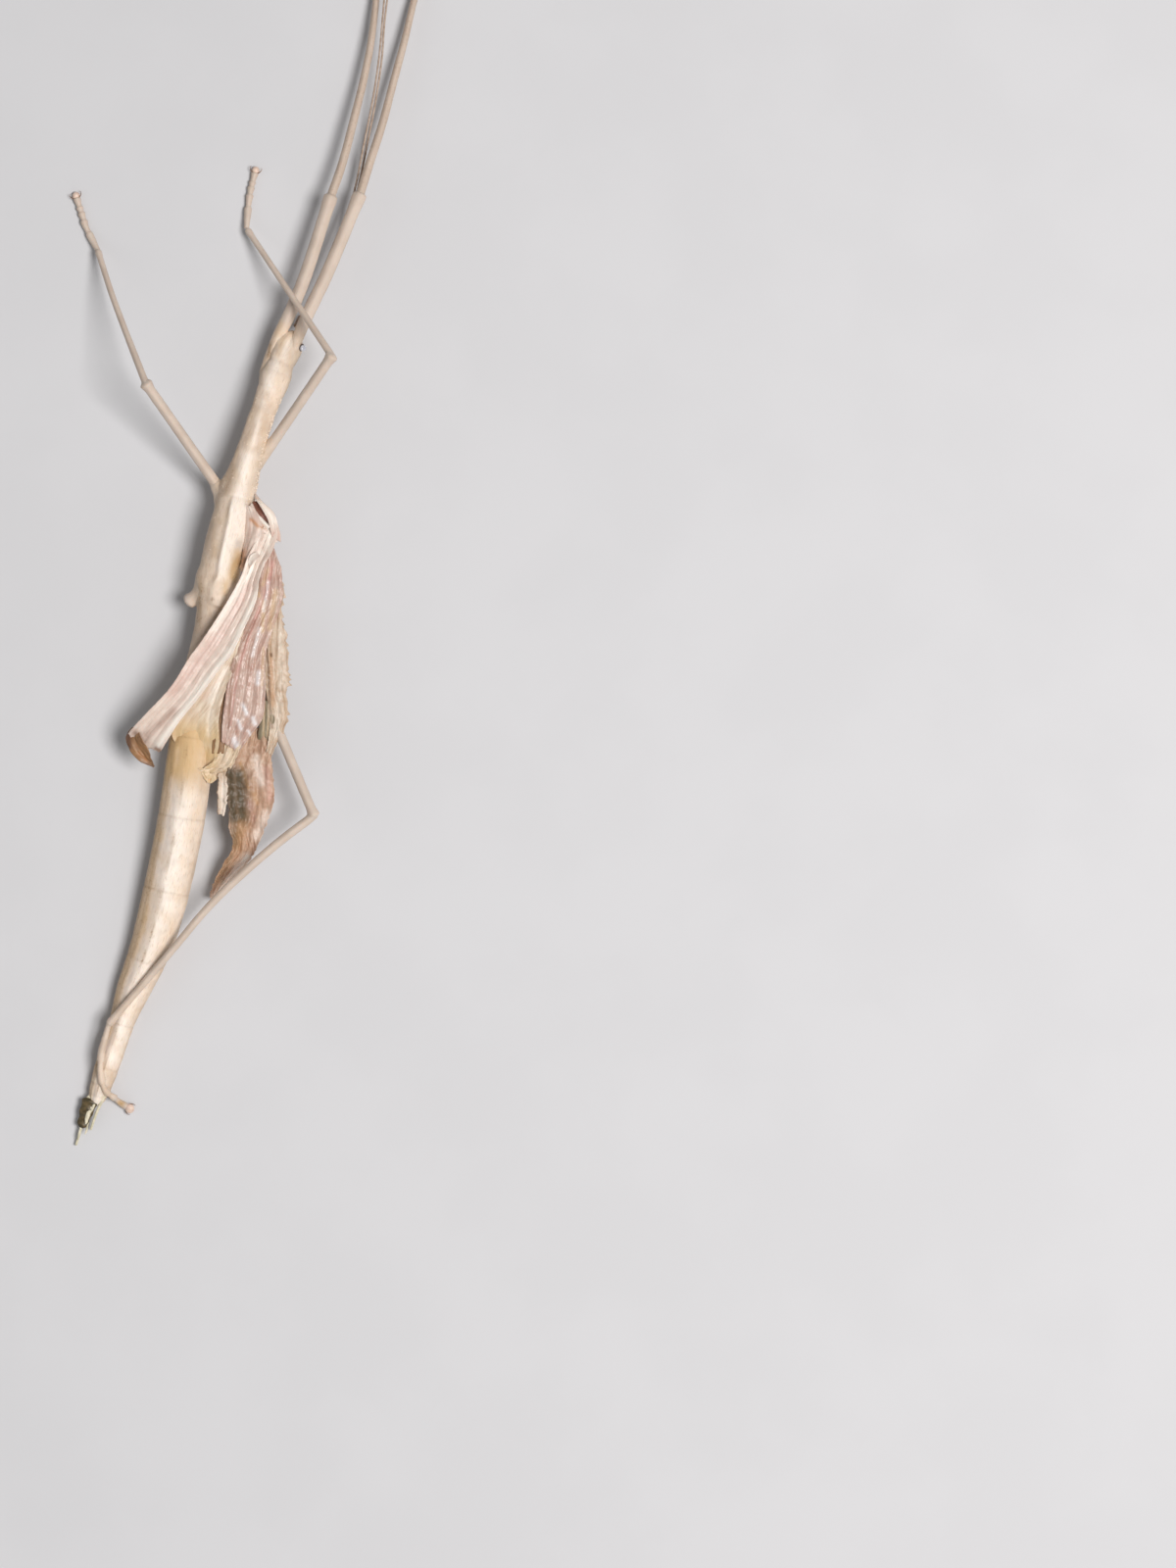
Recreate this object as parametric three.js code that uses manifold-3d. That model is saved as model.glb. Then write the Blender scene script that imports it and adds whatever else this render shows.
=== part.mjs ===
// A winged stick insect at rest, life size: adult female with crumpled wings and one hind leg lost.
// Millimetres, +Z up from the ground that the feet stand on, +Y towards the head, +X to the insect's right.
import * as THREE from "three";
import { mergeVertices } from "three/addons/utils/BufferGeometryUtils.js";
import Module from "manifold-3d";

const wasm = await Module();
wasm.setup();

// ---- looks ----------------------------------------------------------------------------------------------
const paint = (color, roughness) => new THREE.MeshStandardMaterial({ color, roughness, metalness: 0 });
const CUTICLE = paint(0xd9c0a0, 0.55);
const LEG_SKIN = paint(0xd6b99c, 0.6);
const FEELER = paint(0xa98672, 0.6);
const EYE = paint(0xaab0bc, 0.2);
const MOUTH = paint(0xa9825a, 0.5);
const TAIL_PLATE = paint(0x6e5238, 0.5);
const WING = paint(0xe0c6a8, 0.5);
const WING_PINK = paint(0xd2a492, 0.4);
const WING_STAIN = paint(0xb08a5c, 0.5);

// ---- driving sizes --------------------------------------------------------------------------------------
const GAP = 0.1;
const WING_THICKNESS = 0.5;
const FEELER_THICKNESS = 0.5;
const FLOOR_DEPTH = 4;
const REACH = 200;

// Length of each part of the body along its middle line, from the brow to the tail.
const BODY_PARTS = [
  ["head", 3.7],
  ["prothorax", 2.75],
  ["mesothorax", 11.55],
  ["metathorax", 9.9],
  ["median_segment", 6.4],
  ["abdomen_2", 8.3],
  ["abdomen_3", 8.1],
  ["abdomen_4", 7.7],
  ["abdomen_5", 7.5],
  ["abdomen_6", 6.9],
  ["abdomen_7", 4.7],
  ["abdomen_8", 1.8],
  ["abdomen_9", 1.2],
  ["abdomen_10", 1.1],
];

// Rows of [share of the length, width, height] from front to back.
const BODY_SECTIONS = {
  head: [[0, 1.0, 0.9], [0.12, 1.8, 1.6], [0.35, 2.6, 2.1], [0.6, 2.9, 2.3], [0.85, 2.7, 2.2], [1, 2.1, 1.8]],
  prothorax: [[0, 2.2, 2.0], [0.25, 2.6, 2.3], [0.75, 2.7, 2.4], [1, 2.4, 2.2]],
  mesothorax: [[0, 2.6, 2.3], [0.06, 2.9, 2.5], [0.2, 2.4, 2.3], [0.4, 2.5, 2.5], [0.7, 3.0, 2.9], [0.92, 3.6, 3.3], [1, 3.6, 3.3]],
  metathorax: [[0, 3.7, 3.4], [0.2, 4.3, 3.9], [0.5, 4.6, 4.3], [0.8, 4.3, 4.0], [0.95, 3.6, 3.3], [1, 3.0, 2.8]],
  median_segment: [[0, 3.0, 2.7], [0.12, 3.7, 3.2], [0.6, 3.6, 3.2], [1, 3.5, 3.1]],
  abdomen_2: [[0, 3.4, 3.0], [0.08, 3.7, 3.2], [0.92, 3.9, 3.3], [1, 3.8, 3.2]],
  abdomen_3: [[0, 3.8, 3.2], [0.08, 4.0, 3.4], [0.92, 4.6, 3.7], [1, 4.5, 3.6]],
  abdomen_4: [[0, 4.5, 3.6], [0.08, 4.7, 3.8], [0.92, 4.7, 3.8], [1, 4.6, 3.7]],
  abdomen_5: [[0, 4.5, 3.6], [0.08, 4.6, 3.7], [0.92, 4.1, 3.4], [1, 4.0, 3.3]],
  abdomen_6: [[0, 4.0, 3.3], [0.08, 4.0, 3.3], [0.92, 2.7, 2.7], [1, 2.6, 2.6]],
  abdomen_7: [[0, 2.5, 2.5], [0.1, 2.6, 2.6], [0.9, 2.5, 2.4], [1, 2.4, 2.3]],
  abdomen_8: [[0, 2.4, 2.3], [0.2, 2.5, 2.4], [1, 2.2, 2.1]],
  abdomen_9: [[0, 2.1, 2.0], [0.3, 2.2, 2.0], [1, 1.9, 1.7]],
  abdomen_10: [[0, 1.8, 1.6], [0.5, 1.6, 1.4], [1, 0.9, 0.7]],
};

// Middle line of the body, from the brow to the tail.
const BODY_LINE = [
  [3.8, 16.2, 2.9],
  [2.9, 14.3, 3.1],
  [2.1, 12.4, 3.5],
  [1.2, 9.8, 3.9],
  [-0.5, 4.8, 4.3],
  [-2.0, 0.1, 4.4],
  [-3.5, -5.6, 4.5],
  [-4.5, -10.4, 4.2],
  [-6.1, -18.0, 3.8],
  [-7.4, -30.0, 3.1],
  [-8.4, -36.0, 2.5],
  [-10.9, -46.0, 1.75],
  [-13.3, -52.0, 1.35],
  [-16.1, -60.2, 1.0],
  [-17.0, -63.0, 0.9],
];

// Each leg: the places of its joints, from the body to the claws.
const LEGS = {
  fore_left: {
    coxa: [[0.9, 11.4, 3.0], [0.4, 12.1, 3.9]],
    femur: [[0.5, 12.1, 4.0], [1.2, 13.9, 4.6], [2.1, 15.8, 4.6], [3.2, 17.7, 4.2], [4.6, 21.2, 3.8], [7.1, 29.8, 3.3]],
    tibia: [[7.1, 29.8, 3.3], [8.6, 33.9, 3.0], [9.7, 37.5, 2.7], [10.7, 41.3, 2.3], [11.4, 45.6, 1.9], [12.1, 53.3, 0.9]],
    tarsus: [[12.1, 53.3, 0.75], [12.3, 55.4, 0.35], [12.6, 60.2, 0.26]],
  },
  fore_right: {
    coxa: [[3.2, 11.2, 3.2], [3.2, 12.0, 4.1]],
    femur: [[3.1, 12.0, 4.3], [3.6, 13.8, 5.0], [4.2, 15.6, 5.0], [5.2, 17.8, 4.4], [7.0, 21.7, 3.9], [10.3, 30.1, 3.3]],
    tibia: [[10.3, 30.1, 3.3], [12.4, 36.9, 2.7], [13.6, 41.9, 2.2], [14.9, 46.5, 1.7], [16.8, 53.1, 0.9]],
    tarsus: [[16.8, 53.1, 0.75], [17.3, 55.1, 0.35], [18.7, 59.9, 0.26]],
  },
  mid_left: {
    coxa: [[-3.3, -1.1, 3.1], [-4.2, -0.1, 2.9]],
    femur: [[-4.1, 0.3, 3.1], [-10.8, 10.2, 10.0]],
    tibia: [[-10.8, 10.2, 10.0], [-16.4, 24.5, 1.2]],
    tarsus: [[-16.4, 24.5, 1.0], [-17.2, 26.5, 0.35], [-18.1, 28.1, 0.28], [-19.1, 30.1, 0.26]],
  },
  mid_right: {
    coxa: [[-1.9, -0.4, 2.5], [-1.1, 0.8, 2.2]],
    femur: [[-1.0, 1.0, 2.3], [7.9, 13.0, 8.8]],
    tibia: [[7.9, 13.0, 8.8], [-1.3, 26.8, 1.1]],
    tarsus: [[-1.3, 26.8, 0.9], [-1.2, 28.8, 0.35], [-0.9, 31.1, 0.28], [-0.4, 32.9, 0.26]],
  },
  hind_right: {
    coxa: [[-3.9, -10.9, 2.3], [-3.2, -12.2, 1.9]],
    femur: [[-3.1, -12.5, 2.1], [5.8, -33.2, 5.6]],
    tibia: [[5.8, -33.2, 5.6], [1.5, -36.5, 5.4], [-4.5, -42.0, 4.9], [-8.8, -47.0, 4.5], [-12.7, -51.5, 4.0], [-15.3, -54.5, 3.7]],
    tarsus: [[-15.3, -54.5, 3.6], [-16.1, -57.5, 3.4], [-16.2, -59.6, 3.1], [-15.8, -61.3, 2.3], [-14.9, -62.2, 1.0], [-14.4, -62.7, 0.4], [-13.6, -63.2, 0.22]],
  },
};
const STUMP_LINE = [[-6.1, -10.9, 3.6], [-7.4, -11.6, 3.2]];

// Rows of [share of the length, width, height] from the body outwards.
const COXA_SECTIONS = [[0, 0.8, 0.8], [0.3, 1.15, 1.15], [0.8, 1.1, 1.1], [1, 0.8, 0.8]];
const FEMUR_SECTIONS = {
  fore: [[0, 0.8, 0.7], [0.12, 0.95, 0.75], [0.25, 1.25, 1.05], [0.4, 1.4, 1.2], [0.96, 1.4, 1.2], [0.985, 1.45, 1.25], [1, 1.15, 1.0]],
  mid: [[0, 0.8, 0.8], [0.05, 1.05, 1.05], [0.9, 1.0, 1.0], [0.96, 1.2, 1.15], [1, 0.95, 0.9]],
  hind: [[0, 0.8, 0.8], [0.05, 1.1, 1.1], [0.9, 0.95, 0.95], [0.965, 1.15, 1.1], [1, 0.9, 0.85]],
};
const TIBIA_SECTIONS = {
  fore: [[0, 0.8, 0.8], [0.03, 0.9, 0.85], [0.5, 0.8, 0.75], [0.96, 0.7, 0.7], [1, 0.6, 0.6]],
  mid: [[0, 0.65, 0.65], [0.04, 0.7, 0.7], [0.5, 0.62, 0.62], [0.95, 0.66, 0.66], [1, 0.55, 0.55]],
  hind: [[0, 0.75, 0.7], [0.04, 0.88, 0.8], [0.5, 0.78, 0.74], [0.96, 0.8, 0.74], [1, 0.6, 0.6]],
};
const STUMP_SECTIONS = [[0, 1.0, 1.0], [0.3, 1.25, 1.2], [0.85, 1.15, 1.15], [1, 0.8, 0.8]];

// The foot has five joints, long at the ankle and short before the pad.
const FOOT_JOINTS = [0.4, 0.2, 0.13, 0.09, 0.18];
const FOOT_THICKNESS = 0.5;
const FOOT_PAD = 0.75;

// Head fittings, measured from the head's middle line.
const EYE_RADIUS = 0.42;
const EYE_OUT = 1.3;
const EYE_AT = 0.34;
const EYE_ROLL = 0.32;
const MOUTH_LINE = [[3.55, 15.9, 1.9], [3.15, 14.9, 1.6]];
const MOUTH_SECTIONS = [[0, 0.5, 0.5], [0.3, 1.0, 0.7], [0.8, 1.3, 0.7], [1, 0.9, 0.5]];
const FEELER_LINES = {
  right: [[4.4, 16.4, 2.4], [5.3, 18.2, 1.8], [8.6, 25.6, 1.65], [11.2, 34.5, 1.65], [12.8, 45.4, 1.9], [14.6, 59.6, 2.2], [16.0, 66.9, 2.2]],
  left: [[3.7, 16.6, 2.7], [4.6, 18.4, 2.5], [8.2, 25.7, 2.3], [10.8, 34.5, 2.3], [12.4, 45.3, 2.6], [13.4, 59.5, 3.0], [13.4, 66.8, 3.1]],
};
const FEELER_BASE_SECTIONS = [[0, 0.4, 0.4], [0.2, 0.55, 0.5], [0.6, 0.5, 0.5], [1, 0.5, 0.5]];
const FEELER_BASE_SHARE = 0.035;

// Tail pieces.
const TAIL_LINES = {
  cercus_right: [[-16.4, -62.4, 1.0], [-16.9, -63.9, 0.9], [-17.5, -65.8, 0.7]],
  cercus_left: [[-18.1, -62.9, 1.3], [-18.5, -65.1, 0.9], [-18.9, -67.2, 0.6]],
  tail_plate: [[-17.2, -63.4, 0.5], [-17.6, -64.4, 0.45], [-18.0, -65.4, 0.4]],
};
const CERCUS_SECTIONS = [[0, 0.5, 0.5], [0.5, 0.6, 0.5], [1, 0.5, 0.4]];
const TAIL_PLATE_SECTIONS = [[0, 0.9, 0.5], [0.4, 1.0, 0.5], [1, 0.6, 0.4]];

// Wing pieces: middle line, rows of [share, width], roll about the line in degrees, pleats and their depth.
const WINGS = {
  tegmen: {
    line: [[-0.8, -1.0, 5.6], [0.3, -1.3, 6.4], [1.2, -2.4, 6.4], [1.8, -4.0, 5.8], [1.9, -5.3, 5.0]],
    widths: [[0, 0.8], [0.3, 1.2], [0.8, 1.1], [1, 0.7]],
    roll: 25, pleats: 0, depth: 0, rows: 10, columns: 3, look: WING,
  },
  tegmen_flap: {
    line: [[-1.2, -2.2, 6.9], [-0.3, -3.7, 6.6], [0.8, -4.8, 6.2]],
    widths: [[0, 0.7], [0.5, 1.4], [1, 1.0]],
    roll: 10, pleats: 0, depth: 0, rows: 5, columns: 3, look: WING,
  },
  hindwing_strap: {
    line: [[1.1, -5.6, 6.3], [0.1, -8.2, 6.9], [-1.3, -11.6, 7.2], [-3.1, -15.0, 7.2], [-5.3, -18.2, 7.1], [-7.9, -21.3, 6.9], [-10.3, -24.0, 6.1], [-11.9, -25.8, 5.2], [-12.3, -26.9, 4.5]],
    widths: [[0, 1.4], [0.12, 2.0], [0.4, 3.3], [0.7, 4.0], [0.86, 3.7], [1, 1.8]],
    roll: 0, pleats: 3, depth: 0.16, rows: 13, columns: 9, look: WING,
  },
  hindwing_membrane: {
    line: [[-1.6, -16.6, 5.1], [-3.6, -20.4, 5.6], [-6.2, -23.9, 5.85], [-8.8, -26.3, 5.4]],
    widths: [[0, 0.9], [0.4, 2.2], [0.8, 2.6], [1, 1.6]],
    roll: 0, pleats: 1, depth: 0.1, rows: 8, columns: 6, look: WING_STAIN,
  },
  hindwing_fan: {
    line: [[1.2, -6.9, 5.1], [0.6, -11.0, 5.7], [0.2, -14.6, 6.0], [-0.4, -17.8, 6.0], [-0.9, -21.0, 5.8], [-1.3, -24.2, 5.3], [-1.7, -26.3, 4.8]],
    widths: [[0, 1.4], [0.2, 2.6], [0.5, 3.6], [0.8, 3.4], [1, 2.6]],
    roll: 8, pleats: 3, depth: 0.15, rows: 11, columns: 9, look: WING_PINK,
  },
  hindwing_edge: {
    line: [[2.1, -7.6, 4.6], [2.7, -11.0, 5.0], [2.8, -14.4, 5.3], [2.9, -17.6, 5.4], [2.9, -21.0, 5.3], [2.5, -24.6, 5.1]],
    widths: [[0, 0.7], [0.3, 1.0], [0.7, 1.1], [1, 0.7]],
    roll: -20, pleats: 0, depth: 0, rows: 10, columns: 3, look: WING,
  },
  wing_lobe: {
    line: [[-0.6, -26.7, 4.6], [-0.6, -30.0, 3.9], [-0.6, -33.2, 3.4], [-1.6, -36.4, 2.7], [-3.3, -39.3, 1.9], [-4.7, -41.4, 1.4]],
    widths: [[0, 3.0], [0.22, 4.3], [0.42, 3.7], [0.6, 2.5], [0.8, 1.9], [1, 0.7]],
    roll: 0, pleats: 1, depth: 0.12, rows: 10, columns: 6, look: WING_STAIN,
  },
  wing_shred: {
    line: [[-3.5, -26.7, 4.6], [-3.7, -30.0, 4.0], [-3.8, -33.2, 3.3]],
    widths: [[0, 0.6], [0.5, 0.9], [1, 0.5]],
    roll: 20, pleats: 0, depth: 0, rows: 5, columns: 2, look: WING,
  },
};

// ---- shapes ---------------------------------------------------------------------------------------------
const UP = new THREE.Vector3(0, 0, 1);
const routeThrough = (points) => new THREE.CatmullRomCurve3(points.map((p) => new THREE.Vector3(...p)), false, "centripetal");

// The middle of a route at a share of its length, with the directions to its side and over it.
function frameAt(route, share) {
  const centre = route.getPointAt(THREE.MathUtils.clamp(share, 0, 1));
  const ahead = route.getTangentAt(THREE.MathUtils.clamp(share, 0, 1));
  const side = new THREE.Vector3().crossVectors(ahead, UP).normalize();
  const over = new THREE.Vector3().crossVectors(side, ahead);
  return { centre, side, over };
}

// The value of a row's column at a share, straight between rows.
function between(rows, share, column) {
  const next = rows.findIndex((row) => row[0] >= share);
  if (next <= 0) return rows[0][column];
  const [a, b] = [rows[next - 1], rows[next]];
  return THREE.MathUtils.mapLinear(share, a[0], b[0], a[column], b[column]);
}

// Merge shared corners and drop the triangles that this closes up.
function welded(geometry) {
  geometry.deleteAttribute("normal");
  geometry.deleteAttribute("uv");
  const merged = mergeVertices(geometry, 1e-4);
  const corners = merged.index.array;
  const kept = [];
  for (let i = 0; i < corners.length; i += 3) {
    const [a, b, c] = corners.slice(i, i + 3);
    if (a !== b && b !== c && c !== a) kept.push(a, b, c);
  }
  merged.setIndex(kept);
  return merged;
}

// A round-sided rod along part of a route; grow makes it fatter all round.
function rodGeometry({ route, sections, from = 0, to = 1, steps = 0, sides = 10 }, grow = 0) {
  const shares = new Set(sections.map((row) => row[0]));
  for (let i = 1; i < steps; i++) shares.add(i / steps);
  const ordered = [...shares].sort((a, b) => a - b);
  const profile = [new THREE.Vector2(0, 0)];
  for (const share of ordered) profile.push(new THREE.Vector2(1, share));
  profile.push(new THREE.Vector2(0, 1));
  const geometry = new THREE.LatheGeometry(profile, sides, Math.PI / sides);
  const position = geometry.attributes.position;
  const stretch = grow / (route.getLength() * (to - from));
  const point = new THREE.Vector3();
  for (let i = 0; i < position.count; i++) {
    point.fromBufferAttribute(position, i);
    const share = point.y;
    const { centre, side, over } = frameAt(route, from + (to - from) * (share + stretch * (2 * share - 1)));
    const wide = between(sections, share, 1) / 2 + grow;
    const high = between(sections, share, 2) / 2 + grow;
    centre.addScaledVector(side, point.x * wide).addScaledVector(over, point.z * high);
    position.setXYZ(i, centre.x, centre.y, centre.z);
  }
  return welded(geometry);
}

// A strip of wing along a route, pleated across its width.
function stripGeometry({ route, widths, roll, pleats, depth, rows, columns }, grow = 0) {
  const geometry = new THREE.BoxGeometry(1, 1, 1, columns, rows, 1);
  const position = geometry.attributes.position;
  const thick = WING_THICKNESS + 2 * grow;
  const point = new THREE.Vector3();
  for (let i = 0; i < position.count; i++) {
    point.fromBufferAttribute(position, i);
    const share = point.y + 0.5;
    const { centre, side, over } = frameAt(route, share);
    const turn = THREE.MathUtils.degToRad(roll);
    const across = side.clone().multiplyScalar(Math.cos(turn)).addScaledVector(over, Math.sin(turn));
    const lift = over.clone().multiplyScalar(Math.cos(turn)).addScaledVector(side, -Math.sin(turn));
    const wave = depth * Math.cos(point.x * pleats * 2 * Math.PI);
    centre.addScaledVector(across, point.x * (between(widths, share, 1) + 2 * grow));
    centre.addScaledVector(lift, point.z * thick + wave);
    position.setXYZ(i, centre.x, centre.y, centre.z);
  }
  return welded(geometry);
}

function ballGeometry({ centre, radius }, grow = 0) {
  return welded(new THREE.SphereGeometry(radius + grow, 12, 8).translate(centre.x, centre.y, centre.z));
}

const shapeOf = (piece, grow = 0) => piece.make(piece, grow);

function solidOf(geometry) {
  const vertProperties = new Float32Array(geometry.attributes.position.array);
  const triVerts = new Uint32Array(geometry.index.array);
  return new wasm.Manifold(new wasm.Mesh({ numProp: 3, vertProperties, triVerts }));
}

function geometryOf(solid) {
  const { vertProperties, triVerts } = solid.getMesh();
  const geometry = new THREE.BufferGeometry();
  geometry.setAttribute("position", new THREE.BufferAttribute(new Float32Array(vertProperties), 3));
  geometry.setIndex([...triVerts]);
  return geometry;
}

// The ground under the animal: cutting it away leaves small flats to stand on.
const ground = () => new THREE.BoxGeometry(REACH, REACH, FLOOR_DEPTH).translate(0, 0, -FLOOR_DEPTH / 2);

// A piece with its neighbours' room cut out of it, and cut level with the ground.
function fitted(piece) {
  let solid = solidOf(shapeOf(piece));
  for (const neighbour of piece.clear ?? []) solid = solid.subtract(solidOf(shapeOf(neighbour, GAP)));
  if (piece.stands) solid = solid.subtract(solidOf(welded(ground())));
  const bodies = solid.decompose().sort((a, b) => b.volume() - a.volume());
  return geometryOf(bodies[0]);
}

// ---- the animal's pieces --------------------------------------------------------------------------------
const pieces = {};
const addRod = (name, look, rod) => (pieces[name] = { name, look, make: rodGeometry, ...rod });

function addBody() {
  const route = routeThrough(BODY_LINE);
  const total = BODY_PARTS.reduce((sum, [, length]) => sum + length, 0);
  const margin = GAP / 2 / total;
  let start = 0;
  for (const [name, length] of BODY_PARTS) {
    const end = start + length / total;
    const standing = name.startsWith("abdomen");
    addRod(name, CUTICLE, {
      route, sections: BODY_SECTIONS[name], from: start + margin, to: end - margin, steps: 4, sides: 14, stands: standing,
    });
    start = end;
  }
  return route;
}

function addHeadFittings(bodyRoute) {
  const headShare = pieces.head.to;
  const { centre, side, over } = frameAt(bodyRoute, headShare * EYE_AT);
  for (const [name, sign] of [["eye_right", 1], ["eye_left", -1]]) {
    const place = centre.clone().addScaledVector(side, sign * EYE_OUT * Math.cos(EYE_ROLL));
    place.addScaledVector(over, sign * EYE_OUT * Math.sin(EYE_ROLL));
    pieces[name] = { name, look: EYE, make: ballGeometry, centre: place, radius: EYE_RADIUS };
  }
  addRod("mouthparts", MOUTH, { route: routeThrough(MOUTH_LINE), sections: MOUTH_SECTIONS, sides: 8 });
  for (const [hand, line] of Object.entries(FEELER_LINES)) {
    const route = routeThrough(line);
    const even = [[0, FEELER_THICKNESS, FEELER_THICKNESS], [1, FEELER_THICKNESS, FEELER_THICKNESS]];
    addRod(`feeler_base_${hand}`, FEELER, { route, sections: FEELER_BASE_SECTIONS, to: FEELER_BASE_SHARE, sides: 8 });
    addRod(`feeler_${hand}`, FEELER, { route, sections: even, from: FEELER_BASE_SHARE + 0.002, steps: 14, sides: 6 });
  }
}

// Sections of the foot: each joint swells towards its end, and the last one carries the pad.
function footSections() {
  const rows = [[0, 0.8 * FOOT_THICKNESS, 0.8 * FOOT_THICKNESS]];
  let at = 0;
  for (const share of FOOT_JOINTS) {
    rows.push([at + 0.7 * share, FOOT_THICKNESS, FOOT_THICKNESS]);
    at += share;
    rows.push([at, 1.15 * FOOT_THICKNESS, 1.1 * FOOT_THICKNESS]);
  }
  rows[rows.length - 2] = [0.92, FOOT_PAD, FOOT_PAD];
  rows[rows.length - 1] = [1, 0.7 * FOOT_PAD, 0.7 * FOOT_PAD];
  return rows;
}

function addLeg(name, places) {
  const kind = name.split("_")[0];
  const parts = [
    ["coxa", COXA_SECTIONS, 0],
    ["femur", FEMUR_SECTIONS[kind], kind === "fore" ? 12 : 0],
    ["tibia", TIBIA_SECTIONS[kind], kind === "mid" ? 0 : 8],
    ["tarsus", footSections(), 0],
  ];
  for (const [part, sections, steps] of parts) {
    addRod(`${name}_${part}`, LEG_SKIN, { route: routeThrough(places[part]), sections, steps, sides: 8, stands: part === "tarsus" });
  }
}

const body = addBody();
addHeadFittings(body);
for (const [name, places] of Object.entries(LEGS)) addLeg(name, places);
addRod("hind_left_stump", LEG_SKIN, { route: routeThrough(STUMP_LINE), sections: STUMP_SECTIONS, sides: 8 });
for (const [name, line] of Object.entries(TAIL_LINES)) {
  const sections = name === "tail_plate" ? TAIL_PLATE_SECTIONS : CERCUS_SECTIONS;
  addRod(name, TAIL_PLATE, { route: routeThrough(line), sections, steps: 4, sides: 8, stands: true });
}
for (const [name, wing] of Object.entries(WINGS)) {
  pieces[name] = { name, make: stripGeometry, ...wing, route: routeThrough(wing.line) };
}

// Which neighbours each piece is cut clear of.
const CLEAR_OF = {
  head: ["eye_left", "eye_right", "mouthparts", "feeler_base_left", "feeler_base_right"],
  prothorax: ["fore_left_coxa", "fore_right_coxa"],
  mesothorax: ["mid_left_coxa", "mid_right_coxa", "tegmen"],
  metathorax: ["mid_left_coxa", "hind_right_coxa", "hind_left_stump", "tegmen", "tegmen_flap", "hindwing_strap"],
  median_segment: ["hind_right_coxa", "hind_left_stump"],
  hindwing_fan: ["hindwing_membrane", "hindwing_edge"],
  cercus_right: ["abdomen_10"],
  cercus_left: ["abdomen_10"],
};
for (const leg of Object.keys(LEGS)) {
  CLEAR_OF[`${leg}_femur`] = [`${leg}_coxa`, "prothorax", "mesothorax"];
  CLEAR_OF[`${leg}_tibia`] = [`${leg}_femur`];
  CLEAR_OF[`${leg}_tarsus`] = [`${leg}_tibia`];
}
for (const [name, neighbours] of Object.entries(CLEAR_OF)) {
  pieces[name].clear = neighbours.map((neighbour) => pieces[neighbour]);
}

const insect = new THREE.Group();
for (const piece of Object.values(pieces)) {
  const mesh = new THREE.Mesh(fitted(piece), piece.look);
  mesh.name = piece.name;
  insect.add(mesh);
}

export default insect;
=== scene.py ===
"""An adult female winged stick insect, life size, lying belly down on a pale floor.

Forelegs and feelers reach ahead, the wings are crumpled and hang to the right, and one hind leg is lost to a
stump. Lengths in the tables are millimetres in the frame's own axes: +Z up, +Y towards the head, +X to the
insect's right.
"""

import bisect
import math
import random

import bmesh
import bpy
import numpy as np
from mathutils import Matrix, Vector, noise
from mathutils.bvhtree import BVHTree


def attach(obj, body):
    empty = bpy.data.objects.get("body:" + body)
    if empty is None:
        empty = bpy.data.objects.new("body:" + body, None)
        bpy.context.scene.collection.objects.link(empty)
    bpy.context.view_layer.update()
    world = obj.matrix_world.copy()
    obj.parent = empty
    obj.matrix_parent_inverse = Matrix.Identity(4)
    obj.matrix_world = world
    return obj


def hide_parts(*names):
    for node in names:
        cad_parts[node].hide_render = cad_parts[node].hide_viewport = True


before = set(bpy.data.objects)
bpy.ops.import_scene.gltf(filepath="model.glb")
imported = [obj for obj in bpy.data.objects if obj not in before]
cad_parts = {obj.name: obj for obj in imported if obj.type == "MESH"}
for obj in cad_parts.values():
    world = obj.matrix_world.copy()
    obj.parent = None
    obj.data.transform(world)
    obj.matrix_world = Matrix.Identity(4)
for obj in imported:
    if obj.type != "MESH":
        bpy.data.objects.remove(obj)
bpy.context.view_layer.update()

MM = 0.001
UP = Vector((0, 0, 1))
rng = random.Random(11)

# ---- camera, floor and light ----------------------------------------------------------------------------
VIEW_CENTRE = (33.6, -30.0)
CAMERA_HEIGHT = 447.4
LENS = 100
SENSOR_WIDTH = 36
NEAREST_SEEN = 0.01
LIGHT_AIM = (0, -0.02, 0)
# Rows of [name, place in metres, size in metres, power in watts, colour].
LIGHTS = [
    ("key", (0.27, -0.06, 0.58), 0.26, 3.85, (1.0, 0.975, 0.962)),
    ("fill", (-0.55, -0.1, 0.45), 0.5, 0.42, (0.96, 0.98, 1.0)),
    ("back", (0.1, -0.6, 0.4), 0.4, 0.35, (1.0, 1.0, 1.0)),
]
STUDIO_GREY = (0.9, 0.9, 0.9, 1)
STUDIO_STRENGTH = 0.24
FLOOR_SIZE = 2.0
FLOOR_GREY = (203, 203, 205)
FLOOR_LIGHT_GREY = (205, 205, 207)


def make_camera():
    data = bpy.data.cameras.new("camera")
    data.lens = LENS
    data.sensor_width = SENSOR_WIDTH
    data.clip_start = NEAREST_SEEN
    camera = bpy.data.objects.new("camera", data)
    camera.location = (VIEW_CENTRE[0] * MM, VIEW_CENTRE[1] * MM, CAMERA_HEIGHT * MM)
    bpy.context.collection.objects.link(camera)
    bpy.context.scene.camera = camera


def area_light(name, place, size, power, colour):
    data = bpy.data.lights.new(name, "AREA")
    data.shape = "DISK"
    data.size = size
    data.energy = power
    data.color = colour
    light = bpy.data.objects.new(name, data)
    light.location = place
    light.rotation_euler = (Vector(LIGHT_AIM) - Vector(place)).to_track_quat("-Z", "Y").to_euler()
    bpy.context.collection.objects.link(light)


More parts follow.
